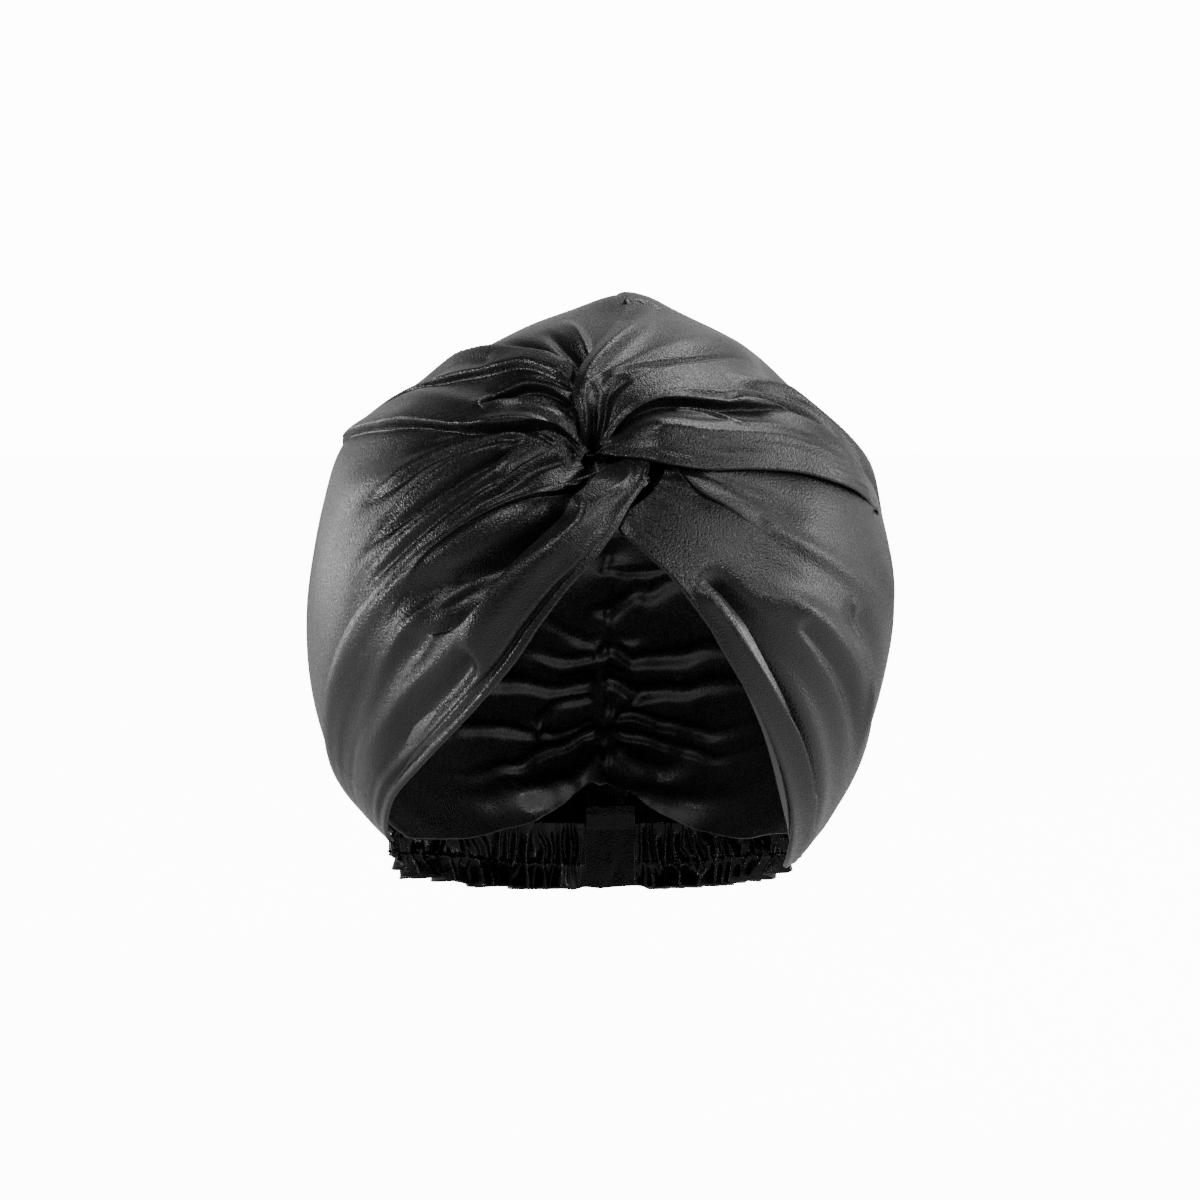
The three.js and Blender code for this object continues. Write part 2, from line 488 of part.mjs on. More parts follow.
function casing(name, fromLon, toLon, gathers) {
  const steps = gathers * STEPS_PER_GATHER;
  const grid = CASING_PROFILE.map((row) =>
    Array.from({ length: steps + 1 }, (_, j) => {
      const lon = lerp(fromLon, toLon, j / steps);
      return casingPoint(lon, row.drop, row.swing * Math.cos((j / STEPS_PER_GATHER) * 2 * Math.PI));
    }),
  );
  return clothMesh(name, grid, LINING, casingSatin);
}

// The plain piece that joins the two gathered casings.
const TAB = { fromLon: 168.85, toLon: 184.25, swing: 1.2, rows: 5, columns: 4 };

function tab() {
  const point = (i, j) => {
    const lon = lerp(TAB.toLon, TAB.fromLon, j / TAB.columns);
    return casingPoint(lon > 180 ? lon - 360 : lon, 1 - i / TAB.rows, TAB.swing);
  };
  const columns = Array.from({ length: TAB.columns + 1 }, (_, j) => j);
  const grid = Array.from({ length: TAB.rows + 1 }, (_, i) => columns.map((j) => point(i, j)));
  return clothMesh("nape_tab", grid, LINING, casingSatin);
}

const cap = new THREE.Group();
cap.name = "sleep_cap";
const crownGrid = { rows: 30, crowding: 1.15, gathers: crownGathers };
cap.add(
  outerPiece("crown_left", CROWN_LEFT, CROWN_LEFT_PLEATS, { ...crownGrid, columns: 20, seamSide: 1 }),
  outerPiece("crown_right", CROWN_RIGHT, CROWN_RIGHT_PLEATS, { ...crownGrid, columns: 18, seamSide: -1 }),
  outerPiece("wrap_left", WRAP_LEFT, WRAP_LEFT_PLEATS, { rows: 22, columns: 12 }),
  outerPiece("wrap_right", WRAP_RIGHT, WRAP_RIGHT_PLEATS, { rows: 18, columns: 14, dip: 0 }),
  outerPiece("roll_right", ROLL_RIGHT, ROLL_RIGHT_PLEATS, { rows: 16, columns: 10, finish: 72 }),
  lining("lining_left", 1),
  lining("lining_right", -1),
  casing("nape_casing_left", -77, -175.5, 16),
  casing("nape_casing_right", 168.6, 68, 16),
  tab(),
);

export default cap;
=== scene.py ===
# %% [markdown]
# # A satin sleep cap with a twisted front
# The cap is sewn from black satin. Two crown halves meet in a seam at the back, two front panels
# cross in a twist above the forehead, and an elastic casing holds the nape. Inside is a gathered lining.
# This lesson dresses a plain model of the cap: every cloth piece is laid again, finer, with its folds,
# rolled edges, gathers and stitches. It starts by loading that plain model, which is never changed.

# %% Load the plain model
import math
from collections import namedtuple

import bpy
import numpy as np
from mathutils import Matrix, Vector


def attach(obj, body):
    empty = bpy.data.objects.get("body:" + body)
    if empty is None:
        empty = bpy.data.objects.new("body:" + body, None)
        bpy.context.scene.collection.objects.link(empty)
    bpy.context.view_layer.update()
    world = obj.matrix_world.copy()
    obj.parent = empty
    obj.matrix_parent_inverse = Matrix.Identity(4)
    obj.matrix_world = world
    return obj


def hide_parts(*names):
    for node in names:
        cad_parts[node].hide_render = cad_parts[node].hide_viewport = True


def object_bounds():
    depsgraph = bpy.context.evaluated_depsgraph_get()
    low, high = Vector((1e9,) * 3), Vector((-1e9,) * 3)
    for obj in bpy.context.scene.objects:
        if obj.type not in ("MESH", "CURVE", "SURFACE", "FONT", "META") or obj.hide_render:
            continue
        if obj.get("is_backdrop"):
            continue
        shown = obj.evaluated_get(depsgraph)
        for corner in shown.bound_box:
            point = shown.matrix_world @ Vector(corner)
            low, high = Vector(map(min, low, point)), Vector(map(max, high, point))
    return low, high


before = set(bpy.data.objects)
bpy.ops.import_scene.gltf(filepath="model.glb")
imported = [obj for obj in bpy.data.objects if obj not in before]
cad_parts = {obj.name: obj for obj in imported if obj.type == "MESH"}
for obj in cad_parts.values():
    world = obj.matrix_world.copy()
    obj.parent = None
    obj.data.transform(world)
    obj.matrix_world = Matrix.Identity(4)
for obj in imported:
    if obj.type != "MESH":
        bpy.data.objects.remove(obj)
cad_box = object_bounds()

MM = 0.001
print("nodes:", ", ".join(sorted(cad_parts)))

# %% [markdown]
# ## Camera, floor and light
# A black satin shows what it mirrors: its folds are read from broad soft highlights between dark hollows.
# So the light is a few large soft panels at the sides and above, in dim surroundings, with a pale floor.

# %% Camera
BODY_CENTRE = np.array([0.0, 15.0, 102.0])
CAMERA_DISTANCE = 1150.0
CAMERA_ELEVATION = math.radians(5)
SENSOR_WIDTH, FOCAL_LENGTH = 36.0, 86.25

view_from = Vector((0, -math.cos(CAMERA_ELEVATION), math.sin(CAMERA_ELEVATION)))
bpy.ops.object.camera_add(location=(Vector(BODY_CENTRE) + view_from * CAMERA_DISTANCE) * MM)
camera = bpy.context.object
camera.name = "camera"
camera.rotation_euler = view_from.to_track_quat("Z", "Y").to_euler()
camera.data.sensor_width = SENSOR_WIDTH
camera.data.lens = FOCAL_LENGTH
bpy.context.scene.camera = camera
print("camera stands at", [round(x, 3) for x in camera.location])

# %% Floor
FLOOR_SIZE, FLOOR_DROP = 12, 0.03  # metres; the drop is the gap below the cap
FLOOR_ROUGHNESS = 0.9
FLOOR_SHADE = {"From Min": -0.45, "From Max": -0.1, "To Min": 0.06, "To Max": 0.85}
SEEN = 14.0  # how bright the surroundings are to look at
FLOOR_SEEN = 0.9 * SEEN
WHITE = (1, 1, 1, 1)

bpy.ops.mesh.primitive_plane_add(size=FLOOR_SIZE, location=(0, 0, cad_box[0][2] - FLOOR_DROP))
floor = bpy.context.object
floor.name = "floor"
floor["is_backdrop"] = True


def set_inputs(node, values):
    for name, value in values.items():
        node.inputs[name].default_value = value


def new_material(name):
    material = bpy.data.materials.new(name)
    material.use_nodes = True
    nodes, links = material.node_tree.nodes, material.node_tree.links
    return material, nodes, links, nodes["Principled BSDF"]


def floor_paint():
    """A pale floor, as bright to look at as the surroundings. It throws little light up at the front."""
    paint, nodes, links, shader = new_material("pale_floor")
    set_inputs(shader, {"Roughness": FLOOR_ROUGHNESS, "Emission Color": WHITE})
    place, parts = nodes.new("ShaderNodeTexCoord"), nodes.new("ShaderNodeSeparateXYZ")
    pale = nodes.new("ShaderNodeMapRange")
    pale.interpolation_type = "SMOOTHSTEP"
    set_inputs(pale, FLOOR_SHADE)
    links.new(place.outputs["Object"], parts.inputs[0])
    links.new(parts.outputs["Y"], pale.inputs["Value"])
    links.new(pale.outputs["Result"], shader.inputs["Base Color"])
    rays, glow = nodes.new("ShaderNodeLightPath"), nodes.new("ShaderNodeMath")
    glow.operation = "MULTIPLY"
    glow.inputs[1].default_value = FLOOR_SEEN
    links.new(rays.outputs["Is Camera Ray"], glow.inputs[0])
    links.new(glow.outputs[0], shader.inputs["Emission Strength"])
    return paint


floor.data.materials.append(floor_paint())
print("floor at", round(floor.location.z, 3), "m")

# %% Surroundings
BRIGHT_WAY = (0.5, 1, -0.3)
SURROUND_SHADE = {"From Min": -0.15, "From Max": 0.75, "To Min": 0.01, "To Max": 0.85}


def surroundings():
    """Plain pale surroundings, which give more light from one way than from the other."""
    world = bpy.data.worlds.new("studio")
    bpy.context.scene.world = world
    world.use_nodes = True
    nodes, links = world.node_tree.nodes, world.node_tree.links
    place, along = nodes.new("ShaderNodeTexCoord"), nodes.new("ShaderNodeVectorMath")
    along.operation = "DOT_PRODUCT"
    along.inputs[1].default_value = Vector(BRIGHT_WAY).normalized()
    rays, light = nodes.new("ShaderNodeLightPath"), nodes.new("ShaderNodeMapRange")
    shown = nodes.new("ShaderNodeMix")
    links.new(place.outputs["Generated"], along.inputs[0])
    links.new(along.outputs["Value"], light.inputs["Value"])
    light.interpolation_type = "SMOOTHSTEP"
    set_inputs(light, SURROUND_SHADE)
    links.new(rays.outputs["Is Camera Ray"], shown.inputs[0])
    links.new(light.outputs["Result"], shown.inputs[2])
    shown.inputs[3].default_value = SEEN
    links.new(shown.outputs[0], nodes["Background"].inputs["Strength"])
    nodes["Background"].inputs["Color"].default_value = WHITE
    return world


print("surroundings:", surroundings().name)

# %% Soft panels of light
Panel = namedtuple("Panel", "name place width height power")  # in metres and watts


def soft_panel(panel):
    """A rectangular light that faces the middle of the cap."""
    bpy.ops.object.light_add(type="AREA", location=panel.place)
    light = bpy.context.object
    light.name = panel.name
    light.data.shape = "RECTANGLE"
    light.data.size, light.data.size_y = panel.width, panel.height
    light.data.energy = panel.power
    away = Vector(panel.place) - Vector(BODY_CENTRE) * MM
    light.rotation_euler = away.to_track_quat("Z", "Y").to_euler()


PANELS = [
    Panel("left_panel", (-1.35, 0.95, 0.2), 0.5, 1.0, 10),
    Panel("side_panel", (-1.5, -0.35, 0.06), 0.4, 0.18, 10),
    Panel("right_panel", (1.6, 0.05, 0.4), 0.6, 1.0, 10.5),
    Panel("top_panel", (0.6, 0.3, 1.5), 1.0, 0.7, 12),
    Panel("front_panel", (-0.5, -1.4, 1.3), 0.7, 0.5, 8),
    Panel("right_front_panel", (1.25, -0.7, 0.7), 0.8, 0.6, 4),
    Panel("low_front_panel", (-0.4, -1.6, 0.8), 0.5, 0.3, 3),
    Panel("low_right_panel", (1.1, -1.5, 0.2), 0.4, 0.25, 5),
]
for panel in PANELS:
    soft_panel(panel)
print("soft panels:", len(PANELS))

# %% [markdown]
# ## A map of the cap
# All cloth radiates from the twist. So a place on the cap is named as with a compass laid on the twist:
# a bearing (0 to the right, 90 up, 180 to the left) and a reach, the angle travelled away from it.
# A rounded body carries that map, and each piece of cloth lies on the body with a lift in millimetres.

# %% The rounded body
HALF_WIDTH = 115.5
DEPTH_FRONT, DEPTH_BACK = 120.0, 125.0
RISE_TOP, DROP_BOTTOM = 115.0, 140.0
MEAN_RADIUS = 119.0
TWIST_LON, TWIST_LAT = -2.0, 34.0
SAG = 1.2  # the far end of each bearing is drawn down towards the nape
PINCH_DEPTH, PINCH_SPREAD = 11.0, 9.0  # the twist is pulled in

UP = np.array([0.0, 0.0, 1.0])


def direction(lon, lat):
    """Direction from the middle of the body. Longitude is 0 in front and 90 to the right."""
    lon, lat = np.radians(lon), np.radians(lat)
    return np.stack([np.sin(lon) * np.cos(lat), -np.cos(lon) * np.cos(lat), np.sin(lat)], axis=-1)


def unit(vectors):
    return vectors / np.linalg.norm(vectors, axis=-1, keepdims=True)


twist_out = direction(TWIST_LON, TWIST_LAT)
twist_right = unit(np.cross(UP, twist_out))
twist_up = np.cross(twist_out, twist_right)


def towards(bearing, reach):
    """Direction from the middle of the body to a place on the map."""
    b, r = np.radians(bearing)[..., None], np.radians(reach)[..., None]
    q = np.cos(r) * twist_out + np.sin(r) * (np.cos(b) * twist_right + np.sin(b) * twist_up)
    away = (1 - q @ twist_out) / 2
    return unit(q - SAG * away[..., None] ** 3 * UP)


def on_body(q, lift):
    """Point in millimetres that lies a lift above the body in direction q."""
    depth = np.where(q[..., 1] < 0, DEPTH_FRONT, DEPTH_BACK)
    height = np.where(q[..., 2] > 0, RISE_TOP, DROP_BOTTOM)
    radii = np.stack([np.full_like(depth, HALF_WIDTH), depth, height], axis=-1)
    return q * radii + BODY_CENTRE + unit(q / radii) * lift[..., None]


def bell(x, width):
    """1 where x is 0, and down to nearly 0 at two widths from it."""
    return np.exp(-((x / width) ** 2))


def ring_radius(reach):
    """Radius in millimetres of the ring of places at one reach."""
    return MEAN_RADIUS * np.sin(np.radians(reach))


def pinch(reach):
    return PINCH_DEPTH * bell(reach, PINCH_SPREAD)


twist_point = on_body(twist_out, -pinch(np.zeros(())))
print("the twist is at", np.round(twist_point, 1), "mm")

# %% [markdown]
# ## Tables and smooth curves
# A tailor's pattern is a list of measures with smooth lines drawn through them. The same is done here:
# each piece has a short table, and values between its rows come from a curve that passes through them.

# %% Reading a table
def table(columns, rows):
    """A table with named columns, looked up by its first one."""
    values = np.array(rows, float)
    return {name: values[:, k] for k, name in enumerate(columns.split())}


def read(source, column, at):
    """Value of a column where the first column equals at, on a smooth curve through the rows."""
    at = np.asarray(at, float)
    if column not in source:
        return np.zeros_like(at)
    x, y = next(iter(source.values())), source[column]
    slope = np.empty_like(y)
    slope[1:-1] = (y[2:] - y[:-2]) / (x[2:] - x[:-2])
    slope[0], slope[-1] = (y[1] - y[0]) / (x[1] - x[0]), (y[-1] - y[-2]) / (x[-1] - x[-2])
    i = np.clip(np.searchsorted(x, at, side="right") - 1, 0, len(x) - 2)
    span = x[i + 1] - x[i]
    t = np.clip((at - x[i]) / span, 0, 1)
    start, end = (2 * t**3 - 3 * t**2 + 1) * y[i], (3 * t**2 - 2 * t**3) * y[i + 1]
    return start + end + span * ((t**3 - 2 * t**2 + t) * slope[i] + (t**3 - t**2) * slope[i + 1])


def through3(start, middle, end, t):
    """A smooth way from start, through middle where t is a half, to end where t is 1."""
    return start * (1 - t) * (1 - 2 * t) + middle * 4 * t * (1 - t) + end * t * (2 * t - 1)


def ease(x, low, high):
    """From 0 where x is low to 1 where it is high, with soft ends."""
    t = np.clip((x - low) / (high - low), 0, 1)
    return t * t * (3 - 2 * t)


# The rim is where the cloth ends and the casing begins. Its height changes with the longitude.
RIM = table("lon top bottom", [
    (0, 8, 2), (66, 8, 0), (80, 8, -2), (110, 6, -13), (130, 3, -20), (150, -1, -26), (180, -3, -30),
])
NEAREST_RIM, FURTHEST_RIM = 40.0, 175.0
HALVINGS = 26  # steps of the search for the rim


def reach_to_rim(shares, bearing_at, reach_at=lambda along, share: along, raised=None):
    """How far each path away from the twist runs before it comes down to the rim."""
    low, high = np.full_like(shares, NEAREST_RIM), np.full_like(shares, FURTHEST_RIM)
    for _ in range(HALVINGS):
        middle = (low + high) / 2
        q = towards(bearing_at(middle, shares), reach_at(middle, shares))
        lon = np.abs(np.degrees(np.arctan2(q[..., 0], -q[..., 1])))
        end = read(RIM, "top", lon) + (raised(lon) if raised else 0)
        above = on_body(q, np.zeros_like(lon))[..., 2] > end
        low, high = np.where(above, middle, low), np.where(above, high, middle)
    return low


print("height of the rim at the nape:", read(RIM, "top", 180.0), "mm")

# %% [markdown]
# ## Folds
# Twisted cloth folds along the lines of pull. Three kinds are laid. A pleat is a long rounded fold that
# runs with the cloth across a piece. A crease is a shorter soft ridge or valley with its own path on the
# map. A lap is a fold whose edge turns over and lies on the cloth beside it, so it has a crisp edge.

# %% Pleats
# A pleat starts and finishes at a reach. Its share of the way across the piece is near, middle and far.
# It is so high, slim where it starts, wide where it finishes, and can lean to one side.
Pleat = namedtuple("Pleat", "start finish near middle far height slim wide lean", defaults=[0])
PLEAT_RISE = 0.18  # share of its length in which a pleat rises


def pleat_lift(pleats, reach, bearing, bearing_at):
    total = np.zeros_like(reach)
    for pleat in pleats:
        t = np.clip((reach - pleat.start) / (pleat.finish - pleat.start), 0, 1)
        turn = bearing - bearing_at(through3(pleat.near, pleat.middle, pleat.far, t))
        aside = np.radians(turn) * ring_radius(reach)
        width = (pleat.slim + (pleat.wide - pleat.slim) * t) * (1 + np.sign(aside) * pleat.lean / 2)
        swell = np.minimum(1, t / PLEAT_RISE) * (1 - t**3)
        total += pleat.height * swell * bell(aside, width)
    return total


print("a pleat has", len(Pleat._fields), "measures")

# %% Paths on the map
MM_PER_DEGREE = math.radians(1) * MEAN_RADIUS
PATH_PIECES = 8


def flat_map(bearing, reach):
    """The map spread flat, in millimetres."""
    b = np.radians(bearing)
    return np.stack([np.cos(b), np.sin(b)], axis=-1) * np.asarray(reach)[..., None] * MM_PER_DEGREE


def from_flat(points, bearing):
    """Bearing and reach of flat points. The bearing is given close to the one named."""
    turned = np.degrees(np.arctan2(points[..., 1], points[..., 0]))
    reach = np.hypot(*np.moveaxis(points, -1, 0)) / MM_PER_DEGREE
    return turned + 360 * np.round((bearing - turned) / 360), reach


def smooth_path(path):
    """Points of a smooth line through the places of a path, spread flat."""
    places = flat_map(*np.array(path, float).T)
    steps = table("step x y", np.column_stack([np.arange(len(places)), places]))
    at = np.linspace(0, len(places) - 1, (len(places) - 1) * PATH_PIECES + 1)
    return np.column_stack([read(steps, "x", at), read(steps, "y", at)])


def beside_path(path, points):
    """For each point: how far along the path (0 to 1), how far off, how far to its left, the way left."""
    line = smooth_path(path)
    off = np.full(points.shape[:-1], np.inf)
    along, aside, left = np.zeros_like(off), np.zeros_like(off), np.zeros_like(points)
    for k, (a, b) in enumerate(zip(line[:-1], line[1:])):
        step = b - a
        t = np.clip((points - a) @ step / (step @ step), 0, 1)
        apart = points - a - t[..., None] * step
        far = np.hypot(apart[..., 0], apart[..., 1])
        across = np.array([-step[1], step[0]]) / np.hypot(*step)
        nearer = far < off
        off = np.where(nearer, far, off)
        along = np.where(nearer, (k + t) / (len(line) - 1), along)
        aside = np.where(nearer, apart @ across, aside)
        left[nearer] = across
    return along, off, aside, left


print("a degree of reach is", round(MM_PER_DEGREE, 2), "mm")

# %% Creases and laps
# A crease has a height (or, below 0, a depth), a width in millimetres and a path. The cloth on the top
# side of a lap rises over a width and reaches over the path. The cloth under it lies in a hollow.
Crease = namedtuple("Crease", "height width path")
Lap = namedtuple("Lap", "top rise width under hollow over path")
LEFT, RIGHT = 1, -1  # the side of a lap that lies on top, seen from the twist
PULL_WIDTH, PULL = 5.0, 0.78  # how far and how strongly a lap draws the grid to its edge
FADE_IN, FADE_OUT = 0.1, 0.62  # where along its path a fold is full, and where it starts to fade
CREASE_START = 0.45  # width of a crease at its start, as a share of its full width
LAP_EDGE = (-0.5, 0.7)  # the edge of a lap rises between these, in millimetres from its path
OVER_SPREAD = 2.2


def fade(along):
    return ease(along, 0, FADE_IN) * (1 - ease(along, FADE_OUT, 1))


def drawn_to_laps(laps, points, inner):
    """Draws the points of a grid closer together at the edge of each lap, to make it crisp."""
    for lap in laps:
        _, off, aside, left = beside_path(lap.path, points)
        pull = PULL * aside * bell(off, PULL_WIDTH) * inner
        points = points - pull[..., None] * left
    return points


def fold_lift(creases, laps, points, inner):
    """Lift of the creases and laps, and the points with the edge of each lap moved over."""
    total, moved = np.zeros(points.shape[:-1]), points.copy()
    for crease in creases:
        along, off, _, _ = beside_path(crease.path, points)
        width = crease.width * (CREASE_START + (1 - CREASE_START) * along)
        total += crease.height * fade(along) * bell(off, width)
    for lap in laps:
        along, _, aside, left = beside_path(lap.path, points)
        a = aside * lap.top
        on_top = ease(a, *LAP_EDGE)
        above = lap.rise * bell(a, lap.width)
        below = lap.under * bell(a, lap.hollow)
        shown = fade(along) * inner
        total += shown * (on_top * above - (1 - on_top) * below)
        over = lap.over * on_top * bell(a, OVER_SPREAD * lap.over) * shown
        moved -= (over * lap.top)[..., None] * left
    return total, moved


print("a lap has", len(Lap._fields), "measures")

# %% Small random waves
RIPPLE_SIZE = 64


def ripple(u, v, seed):
    """Smooth waves between -1 and 1, about one to each unit of u and v. The seed keeps them the same."""
    heights = np.random.default_rng(seed).uniform(-1, 1, (RIPPLE_SIZE, RIPPLE_SIZE))
    iu, iv = np.floor(u).astype(int), np.floor(v).astype(int)
    su, sv = ease(u - iu, 0, 1), ease(v - iv, 0, 1)

    def row(i):
        i = i % RIPPLE_SIZE
        return heights[i, iv % RIPPLE_SIZE] * (1 - sv) + heights[i, (iv + 1) % RIPPLE_SIZE] * sv

    return row(iu) * (1 - su) + row(iu + 1) * su


print("first height:", round(float(ripple(0.0, 0.0, 1)), 3))

# %% Broad puffs
# Each puff is centred at a longitude and latitude. One with a height below 0 is a broad dent.
Puff = namedtuple("Puff", "lon lat spread height")
PUFFS = [
    Puff(60, 83, 9, 6), Puff(-92, 60, 18, -8), Puff(-88, 32, 10, 4), Puff(-96, 14, 14, -2),
    Puff(-88, -20, 14, 2.5), Puff(-88, -38, 12, -1.5), Puff(78, 48, 11, -7), Puff(88, 15, 12, -2),
    Puff(90, -15, 16, -2.5),
]


def puff_lift(q):
    """Broad rounded parts of the outline."""
    total = np.zeros(q.shape[:-1])
    for puff in PUFFS:
        apart = np.degrees(np.arccos(np.clip(q @ direction(puff.lon, puff.lat), -1, 1)))
        total += puff.height * bell(apart, puff.spread)
    return total


print("broad puffs:", len(PUFFS))

# %% [markdown]
# ## Laying a sheet
# Real cloth starts flat, and so does each piece here: a flat grid is added, and its points are moved to
# their places on the cap. A sheet keeps one even grid, so its folds stay smooth. A free edge is turned
# in and back on itself, as a hem is, and a Solidify modifier then gives the cloth its thickness.

# %% Normals and turned edges
TURN_STEPS, FACING_STEPS = 6, 3


def outward(points):
    """Direction out of the cloth at each point of a grid."""
    along, across = np.gradient(points, axis=(0, 1))
    return unit(np.cross(along, across) + 1e-12)


def turned_edge(points, last, radius, facing):
    """Adds columns that roll an edge inwards and carry on behind it as a facing, all in millimetres."""
    at, beside = (-1, -2) if last else (0, 1)
    edge, n = points[:, at], outward(points)[:, at]
    side = edge - points[:, beside]
    side = unit(side - (side * n).sum(-1, keepdims=True) * n)
    r = np.broadcast_to(np.asarray(radius, float), len(edge))[:, None]
    added = []
    for k in range(1, TURN_STEPS + 1):
        turn = math.pi * k / TURN_STEPS
        added.append(edge + r * (math.sin(turn) * side - (1 - math.cos(turn)) * n))
    turned = np.broadcast_to(np.asarray(facing, float), len(edge))[:, None]
    for k in range(1, FACING_STEPS + 1):
        added.append(edge - 2 * r * n - side * turned * k / FACING_STEPS)
    added = np.stack(added, axis=1)
    return np.concatenate([points, added] if last else [added[:, ::-1], points], axis=1)


print("a turned edge adds", TURN_STEPS + FACING_STEPS, "columns")

# %% A sheet from a flat grid
def lay_sheet(name, points):
    """Adds a flat grid and moves its points to their places, given in millimetres."""
    rows, columns = points.shape[0] - 1, points.shape[1] - 1
    bpy.ops.mesh.primitive_grid_add(x_subdivisions=rows, y_subdivisions=columns, size=1)
    sheet = bpy.context.object
    sheet.name = sheet.data.name = name
    flat = np.empty(len(sheet.data.vertices) * 3)
    sheet.data.vertices.foreach_get("co", flat)
    flat = flat.reshape(-1, 3) + 0.5
    i, j = np.rint(flat[:, :2] * (rows, columns)).astype(int).T
    sheet.data.vertices.foreach_set("co", (points[i, j] * MM).ravel())
    sheet.data.update()
    return sheet


def lay_cloth(name, points, thickness, nodes=None):
    """Lays a piece, thickens it inwards, and lets it stand for its plain node or nodes."""
    sheet = lay_sheet(name + "_cloth", points)
    solidify = sheet.modifiers.new("thickness", "SOLIDIFY")
    solidify.thickness = thickness * MM
    solidify.offset = -1
    bpy.ops.object.modifier_apply(modifier=solidify.name)
    bpy.ops.object.shade_smooth()
    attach(sheet, "root")
    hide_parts(*(nodes or [name]))
    size = [round(x / MM) for x in sheet.dimensions]
    area = sum(face.area for face in sheet.data.polygons) / 2
    print(f"{sheet.name}: {size} mm, {area:.4f} square metres, {len(sheet.data.polygons)} faces")
    return sheet


print("cloth helpers are ready")

# %% [markdown]
# ## Outer pieces
# The pattern table of an outer piece gives sections across it, at growing reach: the bearings of its two
# edges and its middle, the lift at the edges, and how many degrees are tucked under a neighbour.

# %% Outer piece from its pattern
SEAM_BEARING, SEAM_START = 90, 60  # the back seam runs up this bearing, from this reach on
TUCK_EASE = 6  # degrees over which the relief fades towards a tuck
LEAST_TUCK = 0.5
RELIEF = (-5, 13)  # pleats stay between these, in millimetres
EDGE_EASE, START_EASE = 0.05, 0.02  # shares of a piece that are kept free of laps
WAVES = 0.3  # height of the small random waves
LONG_WAVES = 14, 26  # how many lie across a piece, and the degrees of reach in each
SHORT_WAVES = 11, 20  # degrees of bearing and of reach in each


def beside_seam(bearing, reach, side):
    """Keeps a crown half on its own side of the back seam."""
    beyond = (reach > SEAM_START) & ((bearing - SEAM_BEARING) * side < 0)
    return np.where(beyond, SEAM_BEARING, bearing)


def tuck_at(inside, tuck):
    """How much of a place shows, and how far it is tucked."""
    has = tuck > LEAST_TUCK
    shown = np.where(has, ease(inside, 0, TUCK_EASE), 1)
    return shown, np.where(has, np.clip(-inside / np.maximum(tuck, LEAST_TUCK), 0, 1), 0)


def outer_points(sections, folds, rows, columns, seed, crowding=1.3, dip=3.2,
                 finish=None, raised=None, gathers=None, seam_side=0):
    """Grid of points of an outer piece, in millimetres.

    Crowding sets how closely the rows stand near the twist, and dip how deep a tuck goes.
    """

    def section(name, along):
        return read(sections, name, along)

    def across(along, share):
        return through3(section("from", along), section("mid", along), section("to", along), share)

    def reach_at(along, share):
        return along + section("lead", along) * share

    shares = np.linspace(0, 1, columns + 1)
    ends = np.full_like(shares, finish) if finish else reach_to_rim(shares, across, reach_at, raised)
    travelled = (np.arange(rows + 1) / rows)[:, None] ** crowding
    along = sections["reach"][0] + (ends - sections["reach"][0]) * travelled
    share = np.broadcast_to(shares, along.shape)
    reach = reach_at(along, share)
    bearing = across(along, share)
    if seam_side:
        bearing = beside_seam(bearing, reach, seam_side)
    tuck_from, tuck_to = section("tuck_from", along), section("tuck_to", along)
    low_shown, low_tucked = tuck_at(bearing - section("from", along) - tuck_from, tuck_from)
    high_shown, high_tucked = tuck_at(section("to", along) - bearing - tuck_to, tuck_to)
    shown = low_shown * high_shown
    lift_from, lift_to = section("lift_from", along), section("lift_to", along)
    lift = lift_from + (lift_to - lift_from) * share
    inner = ease(np.minimum(share, 1 - share), 0, EDGE_EASE) * ease(travelled, 0, START_EASE)
    pleats, creases, laps = [[f for f in folds if isinstance(f, kind)] for kind in (Pleat, Crease, Lap)]
    points = drawn_to_laps(laps, flat_map(bearing, reach), inner)
    bearing, reach = from_flat(points, bearing)
    folded, points = fold_lift(creases, laps, points, inner)
    pleated = pleat_lift(pleats, reach, bearing, lambda at: across(along, at))
    relief = np.clip(pleated, *RELIEF) + folded
    relief += WAVES * ripple(share * LONG_WAVES[0], reach / LONG_WAVES[1], seed)
    relief += WAVES * ripple(bearing / SHORT_WAVES[0], reach / SHORT_WAVES[1], seed + 7)
    if gathers:
        relief += gathers(reach, bearing, share, ends - along)
    bearing, reach = from_flat(points, bearing)
    q = towards(bearing, reach)
    sunk = dip * np.maximum(low_tucked, high_tucked) + pinch(reach)
    return on_body(q, lift + relief * shown + puff_lift(q) - sunk)


print("outer pieces can be laid")

# %% [markdown]
# ## Left half of the crown
# From the twist it fans out over the left side and the back, down to the nape. Near the twist its folds
# are deep and overlap, then they open out and leave a smooth dome. Small gathers pull in along the back
# seam and along the nape, where the casing is sewn on.

# %% Gathers at the back seam and the nape
# Gathers lie between a first and a last reach, and fade with the distance from the seam.
Gathers = namedtuple("Gathers", "first last folds depth spread")
BACK_GATHERS = Gathers(64, 150, folds=5, depth=5.0, spread=34.0)
NAPE_FOLDS, NAPE_DEPTH, NAPE_SPREAD = 6, 3.5, 12.0
FINE_NAPE_FOLDS, FINE_NAPE_DEPTH, FINE_NAPE_SPREAD = 44, 0.9, 5.0
PUCKER_LENGTH, PUCKER_HEIGHT, PUCKER_SPREAD = 2.6, 1.1, 14.0
SEAM_GROOVE, SEAM_GROOVE_WIDTH = 1.3, 1.6


def from_seam(bearing, reach):
    """Distance from the back seam, in millimetres."""
    return np.radians(np.abs(bearing - SEAM_BEARING)) * ring_radius(reach)


